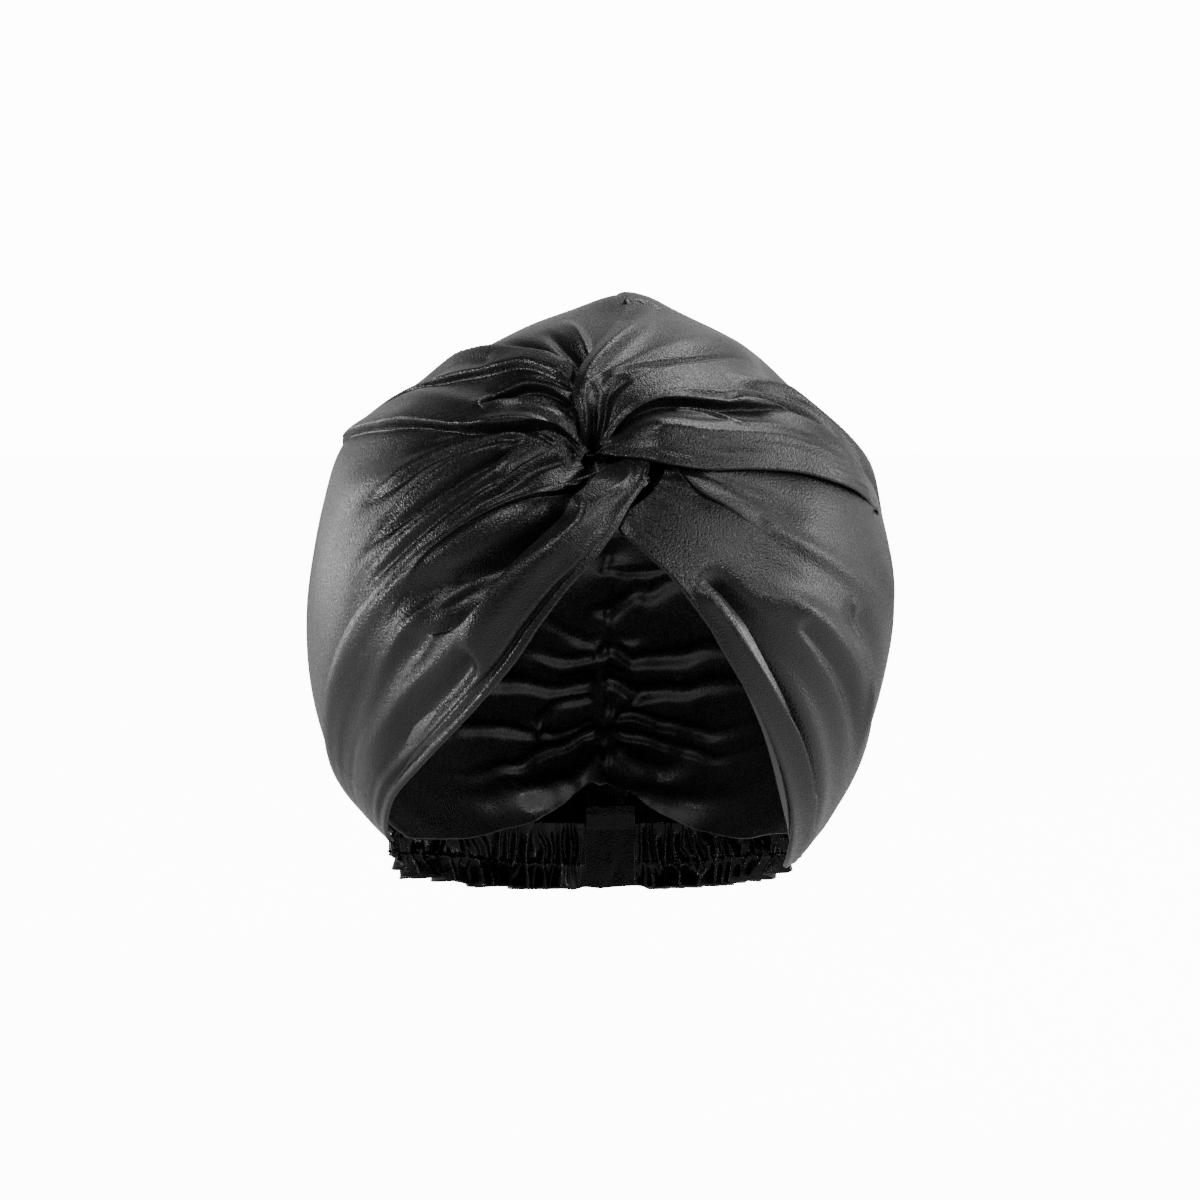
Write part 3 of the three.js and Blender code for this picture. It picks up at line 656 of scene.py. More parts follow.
def seam_gather(gathers, reach, aside):
    along = (reach - gathers.first) / (gathers.last - gathers.first)
    fold = (np.cos(along * gathers.folds * 2 * math.pi) - 1) / 2
    fold = gathers.depth * fold * np.exp(-aside / gathers.spread)
    return np.where((along > 0) & (along < 1), fold * ease(1 - along, 0, 0.1), 0)


def crown_gathers(reach, bearing, share, to_rim):
    aside = from_seam(bearing, reach)
    broad = seam_gather(BACK_GATHERS, reach, aside)
    nape = NAPE_DEPTH / 2 * (1 - np.cos(share * NAPE_FOLDS * 2 * math.pi)) * np.exp(-to_rim / NAPE_SPREAD)
    behind = ease(reach, SEAM_START, SEAM_START + 8)
    side = np.where(bearing > SEAM_BEARING, 0.0, 3.7)  # so that the two sides don't match
    puckers = ripple(reach / PUCKER_LENGTH + side, aside / 22, 5)
    puckers = puckers * np.exp(-aside / PUCKER_SPREAD) * PUCKER_HEIGHT
    groove = -SEAM_GROOVE * bell(aside, SEAM_GROOVE_WIDTH)
    fine_nape = ripple(share * FINE_NAPE_FOLDS, to_rim / 14, 12)
    fine_nape = FINE_NAPE_DEPTH * np.exp(-to_rim / FINE_NAPE_SPREAD) * fine_nape
    return broad + nape + behind * (puckers + groove) + fine_nape


print("gathers along the back seam:", BACK_GATHERS.folds)

# %% Lay the left half
CROWN_CROWDING, CROWN_THICKNESS = 1.15, 0.7
CROWN_LEFT = table("reach from mid to lift_from lift_to tuck_from tuck_to", [
    (2, 98, 152, 250, 1.5, 1.5, 8, 20),
    (8, 96, 140, 242, 1.5, 1.5, 12, 10),
    (14, 92, 150, 230, 1.5, 1.5, 11, 10),
    (23, 80, 161, 220, 1.5, 1.5, 10, 8),
    (35, 76, 160, 215, 1.5, 1.5, 7, 7),
    (50, 80, 156, 214, 1.5, 1.5, 3, 7),
    (56, 87, 154, 213, 1.5, 1.5, 0, 7),
    (64, 90, 151, 213, 1, 1.5, 0, 7),
    (80, 90, 150, 212, 0, 1.5, 0, 7),
    (100, 90, 150, 211, 0, 1.5, 0, 6),
    (150, 90, 150, 209, 0, 1.5, 0, 6),
])
CROWN_LEFT_FOLDS = [
    Pleat(5, 88, 0.42, 0.43, 0.43, 3, 3, 14),
    Pleat(6, 60, 0.6, 0.64, 0.66, 2.5, 3, 10),
    Pleat(5, 60, 0.76, 0.82, 0.85, 3, 3, 10),
    Lap(LEFT, 4.5, 11, 3.5, 9, 1.6, [
        (97, 15), (106, 21), (118, 26), (125, 34), (129, 41), (131, 50), (133, 70), (134, 86),
    ]),
    Lap(RIGHT, 1.6, 4, 2.4, 5, 1.2, [(100, 14), (122, 23), (134, 30), (140, 39), (143, 48), (149, 60)]),
    Lap(RIGHT, 1, 3, 4.5, 4, 1.4, [
        (105, 10), (116, 15), (127, 19), (136, 21), (144, 23), (152, 23), (156, 20),
    ]),
    Lap(RIGHT, 4.5, 9, 2.6, 2.4, 1.8, [
        (122, 3), (138, 8), (150, 11), (158, 15), (162, 20), (163, 26),
        (161, 33), (159, 40), (157, 50), (152, 68), (148, 84), (146, 98),
    ]),
    Lap(LEFT, 2.2, 4, 3.2, 4, 1.3, [
        (186, 3), (179, 6), (175, 8), (176, 11), (182, 14), (189, 17), (195, 24),
    ]),
    Lap(LEFT, 1.4, 3, 2.2, 3, 1, [(180, 6), (185, 8), (194, 11), (200, 15), (204, 22)]),
    Crease(-3, 4, [(111, 8), (120, 11), (135, 15), (146, 18), (154, 21)]),
    Crease(-1.5, 1.5, [(102, 13), (114, 17), (126, 21), (137, 23), (146, 25), (156, 25)]),
    Crease(1.6, 2, [(150, 3), (144, 5), (141, 7), (147, 10), (153, 14), (162, 21), (170, 28), (177, 40)]),
    Crease(-3.4, 3.2, [(166, 12), (171, 18), (175, 25), (178, 32), (182, 40), (184, 52)]),
    Crease(-3.8, 3.2, [(182, 14), (186, 20), (190, 26), (193, 33), (195, 42), (196, 54)]),
    Crease(-2.4, 2.4, [(158, 7), (158, 13), (163, 20), (168, 29), (173, 40)]),
    Crease(-2.2, 2.4, [(198, 16), (201, 24), (202, 33), (203, 44), (203, 56)]),
    Crease(1.4, 3, [(175, 14), (180, 22), (184, 30), (188, 38), (190, 50)]),
    Crease(-2.5, 2.5, [(192, 5), (199, 9), (205, 14), (207, 20), (206, 30)]),
    Crease(-3, 3.5, [(94, 18), (98, 23), (103, 29), (107, 38)]),
    Crease(2.4, 2.5, [(91, 21), (94, 26), (97, 33), (100, 42)]),
    Crease(-2, 3, [(103, 19), (110, 24), (115, 31), (119, 42)]),
    Crease(-1.6, 6, [(130, 30), (134, 42), (140, 58)]),
]
points = outer_points(CROWN_LEFT, CROWN_LEFT_FOLDS, 250, 170, seed=21,
                      crowding=CROWN_CROWDING, gathers=crown_gathers, seam_side=1)
crown_left = lay_cloth("crown_left", points, CROWN_THICKNESS)

# %% [markdown]
# ## Right half of the crown
# Its front edge is turned under and laps over the left half, from the twist up to the peak. At the twist
# the edge curls round like a small ear. Further down it runs over the right shoulder to the back seam.

# %% Lay the right half
CROWN_RIGHT = table("reach from mid to lift_from lift_to tuck_from", [
    (2, 20, 64, 107, 1.5, 3.7, 30),
    (9, 36, 72, 108, 1.5, 3.7, 20),
    (14, 38, 70, 103, 1.5, 3.7, 14),
    (17, 36, 67, 98, 1.5, 3.7, 12),
    (23, 29, 60, 90, 1.5, 3.7, 12),
    (32, 22, 53, 84, 1.5, 3.4, 12),
    (48, 14, 48, 83, 1.5, 3.0, 12),
    (56, 8, 47, 86.2, 1.5, 2.2, 10),
    (64, 4, 47, 90, 1.5, 1, 9),
    (80, 8, 49, 90, 1.5, 0, 8),
    (95, 2, 46, 90, 1.5, 0, 8),
    (113, -10, 40, 90, 1.5, 0, 8),
    (150, -16, 37, 90, 1.5, 0, 8),
])
CROWN_RIGHT_FOLDS = [
    Pleat(2, 52, 0.86, 0.9, 0.9, 4, 3, 6),
    Pleat(24, 76, 0.62, 0.58, 0.55, 2, 6, 14),
    Pleat(34, 104, 0.3, 0.2, 0.14, 6, 5, 12, -0.2),
    Lap(LEFT, 0.8, 12, 4.5, 8, 0.9, [(37, 24), (32, 30), (29.5, 36), (29, 42), (29, 48)]),
    Crease(-1.2, 1.3, [(88, 14), (77, 17), (66, 21), (54, 28), (49, 36), (46, 52)]),
    Crease(0.6, 5, [(84, 15), (72, 19), (60, 25), (53, 33), (50, 46)]),
    Crease(-5, 1.7, [(85, 2), (87, 5), (88, 8), (89, 10.5)]),
    Crease(-7, 4, [(60, 2), (75, 3), (90, 3.2), (105, 3), (120, 2)]),
    Crease(2.6, 1.5, [(104, 3), (97, 7), (97, 10.5), (91, 13.2), (83, 12), (79, 9)]),  # the small ear
    Crease(1.6, 1.5, [(93, 12), (86, 14.5), (78, 17), (72, 20)]),
    Crease(-3.5, 2.6, [(70, 3), (74, 8), (77, 12), (73, 15), (64, 17)]),
    Crease(-2.2, 1.6, [(86, 43), (82, 46), (77, 47), (72, 47)]),
    Crease(-1.1, 12, [(82, 34), (77, 42), (71, 49), (66, 58)]),
]
points = outer_points(CROWN_RIGHT, CROWN_RIGHT_FOLDS, 250, 150, seed=32,
                      crowding=CROWN_CROWDING, gathers=crown_gathers, seam_side=-1)
# The lapped edge is round from the twist up to the peak and flat behind it, where the seam begins.
down_the_edge = np.linspace(0, 1, len(points)) ** CROWN_CROWDING
edge_radius = 0.1 + 1.2 * (1 - ease(down_the_edge, 0.36, 0.44))
points = turned_edge(points, True, edge_radius, 2.0)
crown_right = lay_cloth("crown_right", points, CROWN_THICKNESS)

# %% [markdown]
# ## Left front panel
# A strap that comes over the twist from the right, turns down and widens to the left lower corner. Its
# upper edge is a fold over the crown. Its lower edge is the hem of the face opening, turned in.

# %% Lay the left panel
PANEL_THICKNESS = 0.6
WRAP_LEFT = table("reach lead from mid to lift_from lift_to tuck_to", [
    (1.5, 7, 300, 332, 358, 5.4, 5.4, 12),
    (5, 6, 262, 306, 348, 4.4, 5.4, 4),
    (8, 4, 236, 279, 322, 4, 5.6, 0),
    (11, 3, 222, 260, 299, 3.9, 5.6, 0),
    (15, 2, 216, 251, 286, 3.9, 5, 0),
    (20, 1, 212, 243, 274, 3.9, 4, 0),
    (28, 0, 209, 234, 260, 3.9, 2, 0),
    (42, 0, 207, 228, 248, 3.9, 0.6, 0),
    (57, 0, 206, 222, 237, 3.9, 0, 0),
    (75, 0, 205, 216, 226, 3.9, 0, 0),
    (90, 0, 204.5, 212, 219, 3.9, 0.4, 0),
    (104, 0, 203, 207, 211, 3.9, 1, 0),
])
WRAP_LEFT_FOLDS = [
    Pleat(4, 98, 0.06, 0.06, 0.08, 2.5, 3, 7),
    Pleat(5, 70, 0.6, 0.7, 0.74, 3.5, 5, 10),
    Pleat(40, 84, 0.5, 0.4, 0.36, -2.5, 5, 10),
    Pleat(16, 90, 0.93, 0.93, 0.91, -2.2, 1.1, 1.4),
    Lap(LEFT, 5, 13, 9, 10, 1.8, [
        (292, 4), (269, 9), (256, 13), (246, 20), (240, 27), (237, 34), (234, 39), (229, 43), (222, 47),
    ]),
    Lap(RIGHT, 1.5, 1.8, 2.2, 3, 0.9, [
        (290, 4), (240, 9), (224, 14), (216, 20), (211.5, 28), (211, 37), (214, 48),
    ]),
    Crease(-1.6, 1.2, [
        (300, 3), (240, 7), (225, 10.5), (217, 15), (212.5, 21), (209, 28), (208.5, 37), (209, 50),
    ]),
    Crease(-8, 8, [(262, 12), (248, 17), (237, 23), (229, 29), (223, 35), (218, 41), (213, 48)]),
    Crease(-6, 10, [(239, 42), (235, 49), (230, 57), (226, 65), (222, 76)]),
    Crease(1.2, 5, [(222, 34), (219, 46), (217, 60), (214, 78)]),
]
points = outer_points(WRAP_LEFT, WRAP_LEFT_FOLDS, 190, 110, seed=43,
                      raised=lambda lon: -5 * (1 - ease(lon, 66, 90)))
# Both hems start narrow at the twist and open out to their full width.
open_out = ease(np.linspace(0, 1, len(points)), 0.02, 0.2)
points = turned_edge(points, True, 0.6 + 0.5 * open_out, 1 + 6 * open_out)
points = turned_edge(points, False, 0.6, 0.6 + 2.4 * open_out)
wrap_left = lay_cloth("wrap_left", points, PANEL_THICKNESS)

# %% [markdown]
# ## Right front panel
# It hangs from under the twist to the right lower corner. Its front edge is the other side of the face
# opening, with a facing that shows from below. Soft folds run down along that edge.

# %% Lay the right panel
WRAP_RIGHT = table("reach from mid to lift_from lift_to tuck_to", [
    (14, 294, 326, 359, 2, 1.5, 12),
    (17, 290, 326, 362, 2, 1.5, 12),
    (21, 296, 330, 364, 1.6, 1.5, 12),
    (28, 303, 335, 368, 1, 1.5, 9),
    (37, 306, 338, 371, 0.6, 1.5, 8),
    (46, 308, 340.5, 373, 0.2, 3.7, 8),
    (56, 310.5, 343, 376, 0, 3.7, 8),
    (68, 312.5, 345, 377, 0, 3.7, 3),
    (84, 315, 345, 375, 0, 3.7, 0),
    (95, 317.5, 344, 370, 0.4, 3.7, 0),
    (110, 325, 342, 359, 1, 3.7, 0),
    (124, 330, 341, 352, 1, 3.7, 0),
])
WRAP_RIGHT_FOLDS = [
    Pleat(13, 52, 0.8, 0.56, 0.54, 1.5, 3, 9),
    Pleat(30, 100, 0.16, 0.19, 0.2, -3, 4, 8),
    Pleat(40, 98, 0.3, 0.36, 0.38, 4, 5, 9),
    Pleat(58, 98, 0.44, 0.5, 0.52, -4, 5, 8),
    Lap(LEFT, 0.8, 3, 1.2, 4, 0.8, [(352, 15), (346, 17), (341, 19), (338.5, 22), (339, 26), (339, 36)]),
    Lap(RIGHT, 4.2, 5, 11, 9, 1.5, [
        (308, 31), (310.5, 38), (312, 45), (314, 54), (316, 64),
        (317.5, 74), (319.5, 84), (322, 98), (326, 114),
    ]),
    Crease(-1.5, 5, [(352, 20), (350, 30), (351, 44)]),
    Crease(1, 6, [(342, 33), (345, 50), (352, 78)]),
    Crease(1.6, 4, [(344, 60), (341, 68), (337, 76), (334, 88)]),
    Crease(-2, 4, [(327, 50), (330, 60), (332, 70), (333, 86)]),
    Crease(0.9, 2, [(356, 22), (2, 32), (6, 46), (10, 60)]),
]
points = outer_points(WRAP_RIGHT, WRAP_RIGHT_FOLDS, 180, 120, seed=54, dip=0,
                      raised=lambda lon: -11 * (1 - ease(lon, 66, 96)))
points = turned_edge(points, False, 1.1, 9.0)
wrap_right = lay_cloth("wrap_right", points, PANEL_THICKNESS)

# %% [markdown]
# ## The roll beside the twist
# Cloth from the left comes out of the twist here and rolls over to the right. Its upper edge is a double
# fold, and under it lies a deep hollow before the cloth swells into a broad cheek.

# %% Lay the roll
ROLL_RIGHT = table("reach lead from mid to lift_from lift_to", [
    (2, 0.6, -6, 26, 54, 8, 7),
    (5, 0.4, -12, 24, 56, 8, 6.4),
    (11, 0, -15, 21, 53, 7.6, 5.4),
    (15, 0, -13, 19, 48, 6, 4.6),
    (20, 0, -9, 16, 42, 4.4, 4.2),
    (28, 0, -2, 16, 34.5, 4, 4),
    (38, 0, 3, 16, 29, 4.6, 5),
    (48, 0, 5, 13.5, 24.5, 6.2, 7.5),
    (57, 0, 7.5, 12.5, 20, 5.5, 6),
    (65, 0, 9.5, 12, 16, 3, 3),
    (73, 0, 11, 12, 13.5, -3, -3),
])
ROLL_RIGHT_FOLDS = [
    Pleat(2, 60, 0.95, 0.95, 0.93, 1.5, 2, 4),
    Pleat(2, 58, 0.5, 0.36, 0.46, 4.5, 5, 10),
    Lap(LEFT, 1, 2, 5, 5, 1.4, [
        (48, 3), (48, 9), (42.5, 14.5), (36.5, 19), (31, 24), (26, 32), (23.5, 38), (20, 48),
    ]),
    Lap(RIGHT, 1.5, 6, 6.5, 6, 1.2, [
        (30, 28), (27.5, 34), (24, 39), (21, 43), (18, 48), (14, 53), (10, 60), (9, 66),
    ]),
    Crease(-1.4, 0.8, [(51, 3), (50.5, 9), (45.5, 14.5), (39.5, 19.5), (33, 25.5), (28, 33), (25.5, 42)]),
    Crease(1.8, 1.6, [(33, 17), (28, 21.5), (20, 25), (12, 30)]),
]
points = outer_points(ROLL_RIGHT, ROLL_RIGHT_FOLDS, 150, 84, seed=65, finish=72)
points = turned_edge(points, True, 0.8, 2.0)
points = turned_edge(points, False, 0.9, 2.0)
roll_right = lay_cloth("roll_right", points, PANEL_THICKNESS)

# %% [markdown]
# ## Lining
# The lining is cut wider than the crown and drawn up on the seam down the middle of the back. So folds
# run out from that seam like the bones of a fish. It is sewn to the outer pieces along the face opening.

# %% Folds of the lining
LINING_DEPTH, LINING_THICKNESS = 9.0, 0.5
LINING_GATHERS = Gathers(84, 150, folds=8, depth=1.8, spread=40.0)
LINING_EDGES = table("reach from to", [
    (0.4, -66, 290), (5, -62, 286), (18, -62, 268), (30, -54, 256), (43, -52, 246),
    (58, -50, 235), (76, -48, 224), (90, -43, 217), (104, -34, 209),
])
LINING_END = table("lon rise", [
    (0, -1), (80, -2), (100, -8), (115, -12), (130, -11), (144, -7),
    (157, -3), (168, 3), (177, 11), (180, 11),
])
LINING_FOLDS = [
    Crease(-2, 1.2, [(93, 117), (85, 117), (77, 116), (66, 114)]),
    Crease(-3, 2, [(95, 121), (90, 121), (86, 120), (83, 119), (77, 118), (60, 114), (42, 107)]),
    Crease(-1.5, 1.2, [(100, 123), (95, 124), (90, 124), (84, 124), (78, 123)]),
    Crease(-4, 2.2, [
        (94, 126), (89, 125), (84, 126), (81, 126), (73, 125), (64, 123), (48, 119), (28, 111),
    ]),
    Crease(-1.8, 1, [(93, 127.5), (89, 127.5), (85, 128), (82, 126.5)]),
    Crease(-4, 2.4, [(94, 129), (84, 129.5), (80, 130), (72, 129), (61, 127), (45, 122), (26, 113)]),
    Crease(-2.5, 1.4, [(87, 133), (83, 132), (80, 131), (70, 129)]),
    Crease(-4.5, 1.8, [(88, 134), (83, 133), (75, 133), (67, 133), (55, 132), (43, 129), (24, 121)]),
    Crease(-4.5, 1.8, [
        (88, 135.5), (82, 136.3), (73, 136), (64, 136), (52, 135), (36, 131.5), (12, 121),
    ]),
    Crease(-4, 6, [(88, 139), (76, 141), (62, 141), (48, 139)]),
    Crease(-9, 12, [(78, 150), (64, 149), (46, 147), (26, 141), (0, 130)]),
    Crease(-2, 1.2, [(93, 125), (98, 124), (104, 122), (112, 120)]),
    Crease(-3, 1.6, [(93, 126), (100, 126), (107, 125), (118, 123)]),
    Crease(-2, 1.2, [(96, 128), (104, 128), (111, 126.3), (115, 124.5)]),
    Crease(-4.5, 2.6, [
        (93, 128.5), (98, 129.3), (107, 129), (116, 127), (127, 124.5), (140, 120), (160, 111),
    ]),
    Crease(-2.5, 1.4, [(94, 131), (101, 131), (109, 131), (116, 132), (122, 131)]),
    Crease(-3.5, 1.3, [
        (94, 134), (102, 135), (110, 135.2), (116, 134.2), (116, 132.8), (111, 132), (103, 132.5),
    ]),
    Crease(-4, 2.4, [(117, 134.8), (126, 132), (137, 128.5), (147, 125), (160, 120), (180, 109)]),
    Crease(-4, 2.6, [
        (93, 135.3), (98, 136), (109, 137.3), (123, 137), (136, 136), (156, 131), (180, 119),
    ]),
    Crease(-8, 8, [
        (92, 139), (96, 142), (104, 144), (114, 145), (130, 144), (146, 140), (164, 134), (190, 120),
    ]),
]
print("folds in the lining:", len(LINING_FOLDS))

# %% Lay the lining
SEWN_EDGE = 0.06  # share of the lining that is held at the edge of the face opening
SEWN_LIFT, SEWN_DROP = -2.3, 2.2  # lift of that edge, and how much lower it is at the corners
DEEPEST_FOLD = -9
EVENNESS = 0.45  # 1 spreads the columns evenly, and less crowds them at the seam
LINING_CROWDING = 0.7  # below 1, the rows crowd at the nape
LINING_GROOVE, LINING_GROOVE_WIDTH = 1.0, 1.5
FINE_LENGTH, FINE_HEIGHT, FINE_SPREAD = 1.9, 1.8, 12


def lining_points(rows, columns):
    """Grid of points of the lining, in millimetres."""

    def across(along, share):
        edges = [read(LINING_EDGES, name, along) for name in ("from", "to")]
        return through3(edges[0], SEAM_BEARING, edges[1], share)

    x = np.linspace(-1, 1, columns + 1)
    shares = 0.5 + 0.5 * (EVENNESS * x + (1 - EVENNESS) * x**3)
    ends = reach_to_rim(shares, across, raised=lambda lon: read(LINING_END, "rise", lon))
    travelled = (np.arange(rows + 1) / rows)[:, None] ** LINING_CROWDING
    reach = LINING_EDGES["reach"][0] + (ends - LINING_EDGES["reach"][0]) * travelled
    share = np.broadcast_to(shares, reach.shape)
    bearing = across(reach, share)
    aside = from_seam(bearing, reach)
    held = 1 - ease(np.minimum(share, 1 - share), 0, SEWN_EDGE)
    edge = SEWN_LIFT - SEWN_DROP * ease(reach, 80, 104)
    side = np.where(bearing > SEAM_BEARING, 0.0, 2.4)
    drift = 4 * ripple(aside / 26, reach / 12, 3)
    broad = seam_gather(LINING_GATHERS, reach + drift, aside)
    behind = ease(reach, 60, 84)
    fine = ripple((reach + 0.06 * aside) / FINE_LENGTH + side, aside / 14, 9)
    fine = behind * FINE_HEIGHT * fine * np.exp(-aside / FINE_SPREAD)
    groove = -LINING_GROOVE * behind * bell(aside, LINING_GROOVE_WIDTH)
    folds, _ = fold_lift(LINING_FOLDS, [], flat_map(bearing, reach), 1.0)
    waves = 0.8 * ripple(bearing / 9, reach / 9, 17)
    relief = np.maximum(broad + fine + groove + folds + waves, DEEPEST_FOLD)
    lift = -LINING_DEPTH + (edge + LINING_DEPTH) * held + relief * (1 - held)
    return on_body(towards(bearing, reach), lift - pinch(reach))


lining = lay_cloth("lining", lining_points(280, 150), LINING_THICKNESS, ["lining_left", "lining_right"])

# %% [markdown]
# ## Elastic casing at the nape
# A strip of satin is folded over an elastic and stitched through, so it draws up in close ribs. Below
# the stitching its free edge stands out as a frill. A plain tab joins the two casings in the middle.

# %% Profile of the casing
# Down the casing, from its top at 0 to the frill's edge at 1, the ribs and the frill swing in and out.
CASING = table("drop ribs frill out", [
    (-0.2, 0.2, 0, -1.4), (0, 0.5, 0, -0.3), (0.1, 0.9, 0, 0.2), (0.35, 1.3, 0.2, 0.4),
    (0.56, 1.0, 0.5, 0.2), (0.64, 0.35, 0.4, -0.2), (0.72, 0.6, 2.0, 0.3), (0.86, 0.4, 3.8, 0.7),
    (1, 0.2, 4.8, 0.8),
])
CASING_GAP, CASING_INSET, CASING_THICKNESS = 0.9, 1.0, 0.8
STITCH_DROP, STITCH_DEPTH, STITCH_WIDTH = 0.64, 0.7, 0.03
FRILL_HANG, FRILL_DRAWN_UP = 2.4, 5.0  # at the back, and at the front corners
FRONT_PART, FRONT_SWING = 0.3, 0.35
RIB_COLUMNS, CASING_ROWS = 12, 31


def casing_points(lon, drop, swing, hang=0.0):
    """Points that lie a drop below the rim, swung outwards by millimetres."""
    around = np.abs(lon)
    top = read(RIM, "top", around) - CASING_GAP
    height = top - read(RIM, "bottom", around)
    lat = np.degrees(np.arcsin((top - BODY_CENTRE[2]) / DROP_BOTTOM))
    out = direction(lon, np.zeros_like(lon))
    base = on_body(direction(lon, lat), np.zeros_like(lon))
    return base + out * (swing - CASING_INSET - drop)[..., None] - UP * (drop * height + hang)[..., None]


print("a casing drops from", read(RIM, "top", 180.0), "to", read(RIM, "bottom", 180.0), "mm at the nape")

# %% Lay the casings
def casing(name, from_lon, to_lon, ribs, scallops, seed):
    """A gathered strip with its frill, which is drawn up towards the front corner."""
    j, drop = np.meshgrid(np.linspace(0, 1, ribs * RIB_COLUMNS + 1), np.linspace(-0.1, 1, CASING_ROWS))
    lon = from_lon + (to_lon - from_lon) * j
    wander = 0.8 * ripple(j * ribs / 2, drop * 1.5, seed) + 0.3 * ripple(j * ribs, drop * 3, seed + 3)
    rib = np.cos((j * ribs + wander) * 2 * math.pi) * (1 + 0.5 * ripple(j * ribs, drop, seed + 4))
    drift = 1.1 * ripple(j * scallops / 1.5, drop, seed + 1)
    wave = np.cos((j * scallops + drift) * 2 * math.pi) * (1 + 0.6 * ripple(j * scallops, drop, seed + 5))
    stitched = -STITCH_DEPTH * bell(drop - STITCH_DROP, STITCH_WIDTH)
    swing = read(CASING, "ribs", drop) * rib + read(CASING, "frill", drop) * wave + stitched
    from_front = j if abs(from_lon) < abs(to_lon) else 1 - j
    full = ease(from_front, 0, FRONT_PART)
    swing = (swing + read(CASING, "out", drop)) * ease(np.minimum(j, 1 - j), 0, 0.04)
    swing = swing * (FRONT_SWING + (1 - FRONT_SWING) * full)
    hang = FRILL_HANG + 0.9 * wave + 1.2 * ripple(j * ribs / 2, drop, seed + 2)
    hang = hang * ease(1 - from_front, 0, 0.06)
    hang = ease(drop, STITCH_DROP, 1) * (hang * full - FRILL_DRAWN_UP * (1 - full))
    return lay_cloth(name, casing_points(lon, drop, swing, hang), CASING_THICKNESS)


nape_left = casing("nape_casing_left", -79, -175.5, ribs=26, scallops=15, seed=71)
nape_right = casing("nape_casing_right", 168.6, 98, ribs=22, scallops=12, seed=81)

# %% Lay the tab
TAB_THICKNESS = 0.9
tab_lon, tab_drop = np.meshgrid(np.linspace(184.9, 168.2, 25), np.linspace(1, -0.4, 29))
tab_swing = 0.9 + 0.25 * ripple(tab_lon / 3, tab_drop * 3, 91) - 2.0 * ease(-tab_drop, 0, 0.2)
tab_lon = np.where(tab_lon > 180, tab_lon - 360, tab_lon)
points = casing_points(tab_lon, tab_drop, tab_swing)
tab = lay_cloth("nape_tab", points, TAB_THICKNESS)

# %% [markdown]
# ## Satin
# Satin has long smooth threads on its face, so it shines softly, with a fine grain in the shine. The same
# grain serves all three cloths, so it is a node group: it gives a tint, a roughness and a height.

# %% The grain of the cloth
THREAD_SCALE, CLOUD_SCALE, CLOUD_DETAIL = 1500, 22, 3
CLOUD_TINT, DARKEST_TINT = 0.5, 0.75


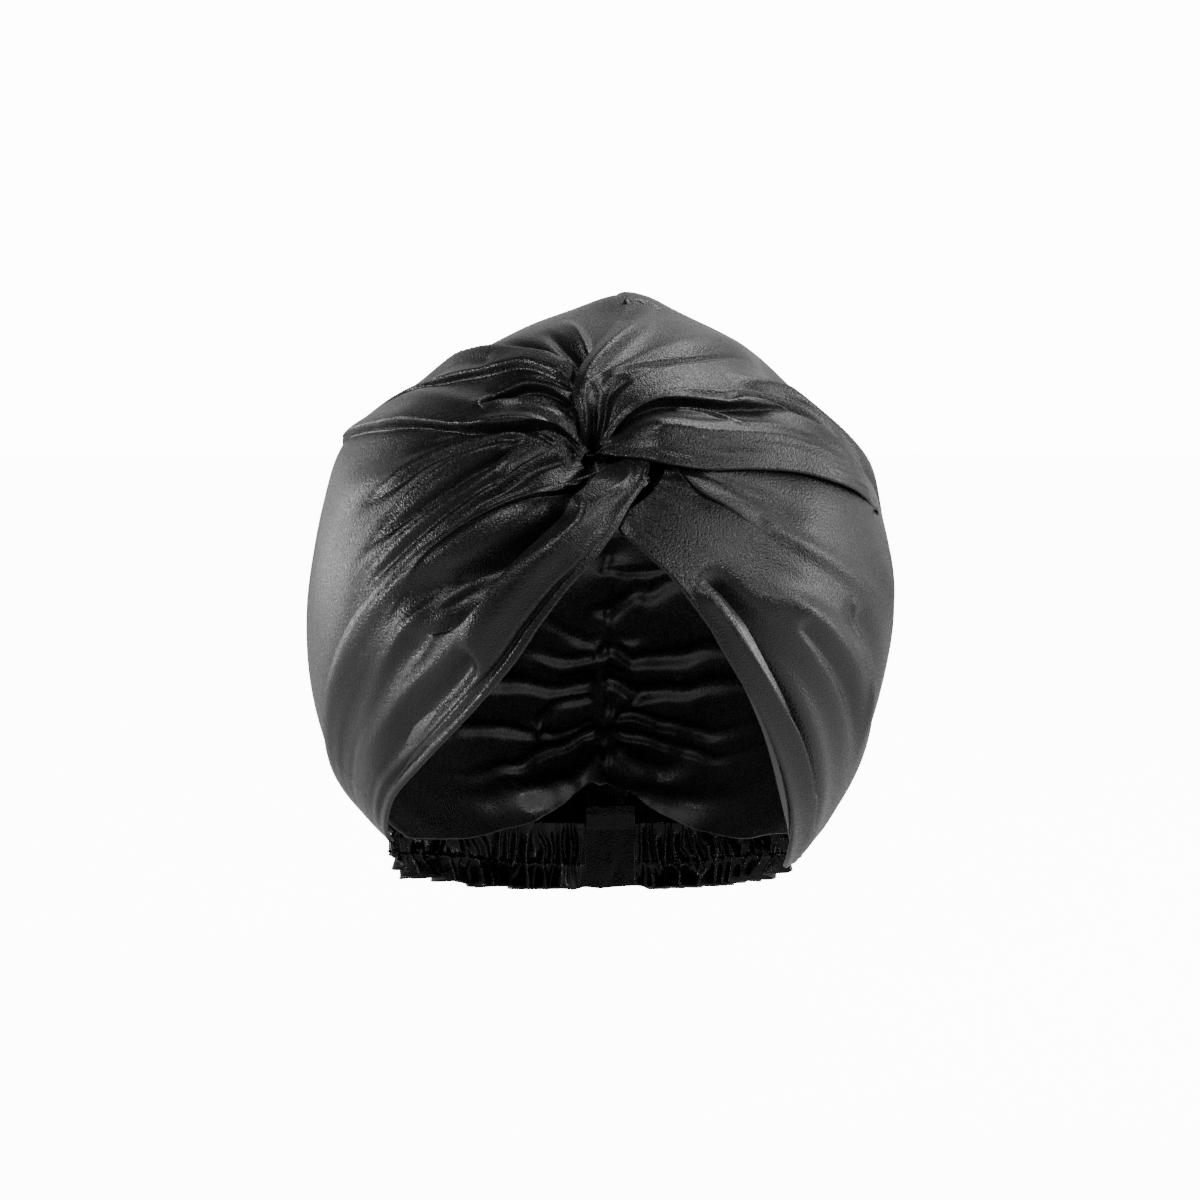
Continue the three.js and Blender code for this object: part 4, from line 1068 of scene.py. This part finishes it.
def satin_grain():
    """A node group: colour, roughness and spread go in; colour, roughness and height come out."""
    group = bpy.data.node_groups.new("satin_grain", "ShaderNodeTree")
    for name, kind, way in [
        ("Colour", "Color", "INPUT"), ("Roughness", "Float", "INPUT"), ("Spread", "Float", "INPUT"),
        ("Colour", "Color", "OUTPUT"), ("Roughness", "Float", "OUTPUT"), ("Height", "Float", "OUTPUT"),
    ]:
        group.interface.new_socket(name=name, in_out=way, socket_type="NodeSocket" + kind)
    nodes, links = group.nodes, group.links
    given, gives = nodes.new("NodeGroupInput"), nodes.new("NodeGroupOutput")
    place = nodes.new("ShaderNodeTexCoord")

    def noise(scale, detail):
        texture = nodes.new("ShaderNodeTexNoise")
        set_inputs(texture, {"Scale": scale, "Detail": detail})
        links.new(place.outputs["Object"], texture.inputs["Vector"])
        return texture.outputs["Fac"]

    def maths(operation, a, b):
        node = nodes.new("ShaderNodeMath")
        node.operation = operation
        for socket, value in zip(node.inputs, (a, b)):
            if isinstance(value, (int, float)):
                socket.default_value = value
            else:
                links.new(value, socket)
        return node.outputs[0]

    threads = noise(THREAD_SCALE, 0)
    cloudy = noise(CLOUD_SCALE, CLOUD_DETAIL)
    level = maths("ADD", maths("MULTIPLY", cloudy, CLOUD_TINT), DARKEST_TINT)
    tint = nodes.new("ShaderNodeMix")
    tint.data_type = "RGBA"
    tint.blend_type = "MULTIPLY"
    tint.inputs[0].default_value = 1
    links.new(given.outputs["Colour"], tint.inputs[6])
    links.new(level, tint.inputs[7])
    links.new(tint.outputs[2], gives.inputs["Colour"])
    grainy = maths("MULTIPLY", maths("SUBTRACT", threads, 0.5), given.outputs["Spread"])
    links.new(maths("ADD", given.outputs["Roughness"], grainy), gives.inputs["Roughness"])
    links.new(threads, gives.inputs["Height"])
    return group


GRAIN = satin_grain()
print("node group:", GRAIN.name)

# %% Three satins
Satin = namedtuple("Satin", "name colour roughness spread bump shine")
THREAD_HEIGHT = 0.0004  # metres


def satin(kind):
    """A satin whose roughness is spread, and whose face is bumped, by its threads."""
    material, nodes, links, shader = new_material(kind.name)
    grain = nodes.new("ShaderNodeGroup")
    grain.node_tree = GRAIN
    set_inputs(grain, {"Colour": (*kind.colour, 1), "Roughness": kind.roughness, "Spread": kind.spread})
    bump = nodes.new("ShaderNodeBump")
    set_inputs(bump, {"Strength": kind.bump, "Distance": THREAD_HEIGHT})
    links.new(grain.outputs["Colour"], shader.inputs["Base Color"])
    links.new(grain.outputs["Roughness"], shader.inputs["Roughness"])
    links.new(grain.outputs["Height"], bump.inputs["Height"])
    links.new(bump.outputs["Normal"], shader.inputs["Normal"])
    shader.inputs["Specular IOR Level"].default_value = kind.shine
    return material


FACE = satin(Satin("black_satin", (0.008, 0.008, 0.0085), 0.36, 0.5, 0.46, 0.6))
# The lining's colour is five times lighter than the black of the face: painted light, which stands in for
# light that hardly reaches inside the cap.
LINING_PAINTED_LIGHT = satin(Satin("lining_satin", (0.04, 0.04, 0.042), 0.33, 0.4, 0.3, 0.9))
# The casing and tab are the same black satin but four times darker than the face: painted shade, for the
# shade at the back of the cap where they lie.
CASING_PAINTED_SHADE = satin(Satin("casing_satin", (0.002, 0.002, 0.0022), 0.24, 0.3, 0.3, 0.3))

for piece in (crown_left, crown_right, wrap_left, wrap_right, roll_right):
    piece.data.materials.append(FACE)
lining.data.materials.append(LINING_PAINTED_LIGHT)
for piece in (nape_left, nape_right, tab):
    piece.data.materials.append(CASING_PAINTED_SHADE)
print("materials:", [m.name for m in bpy.data.materials])

# %% [markdown]
# ## Finish
# The dressed pieces are measured, to show how much they grow beyond the plain model.

Cut = namedtuple("Cut", "piece width length area held rests_on")

# %% Sizes and finish
visual_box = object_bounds()
grown = [[round((b - a) / MM, 1) for a, b in zip(*corners)] for corners in zip(cad_box, visual_box)]
print("grows by (mm):", grown)
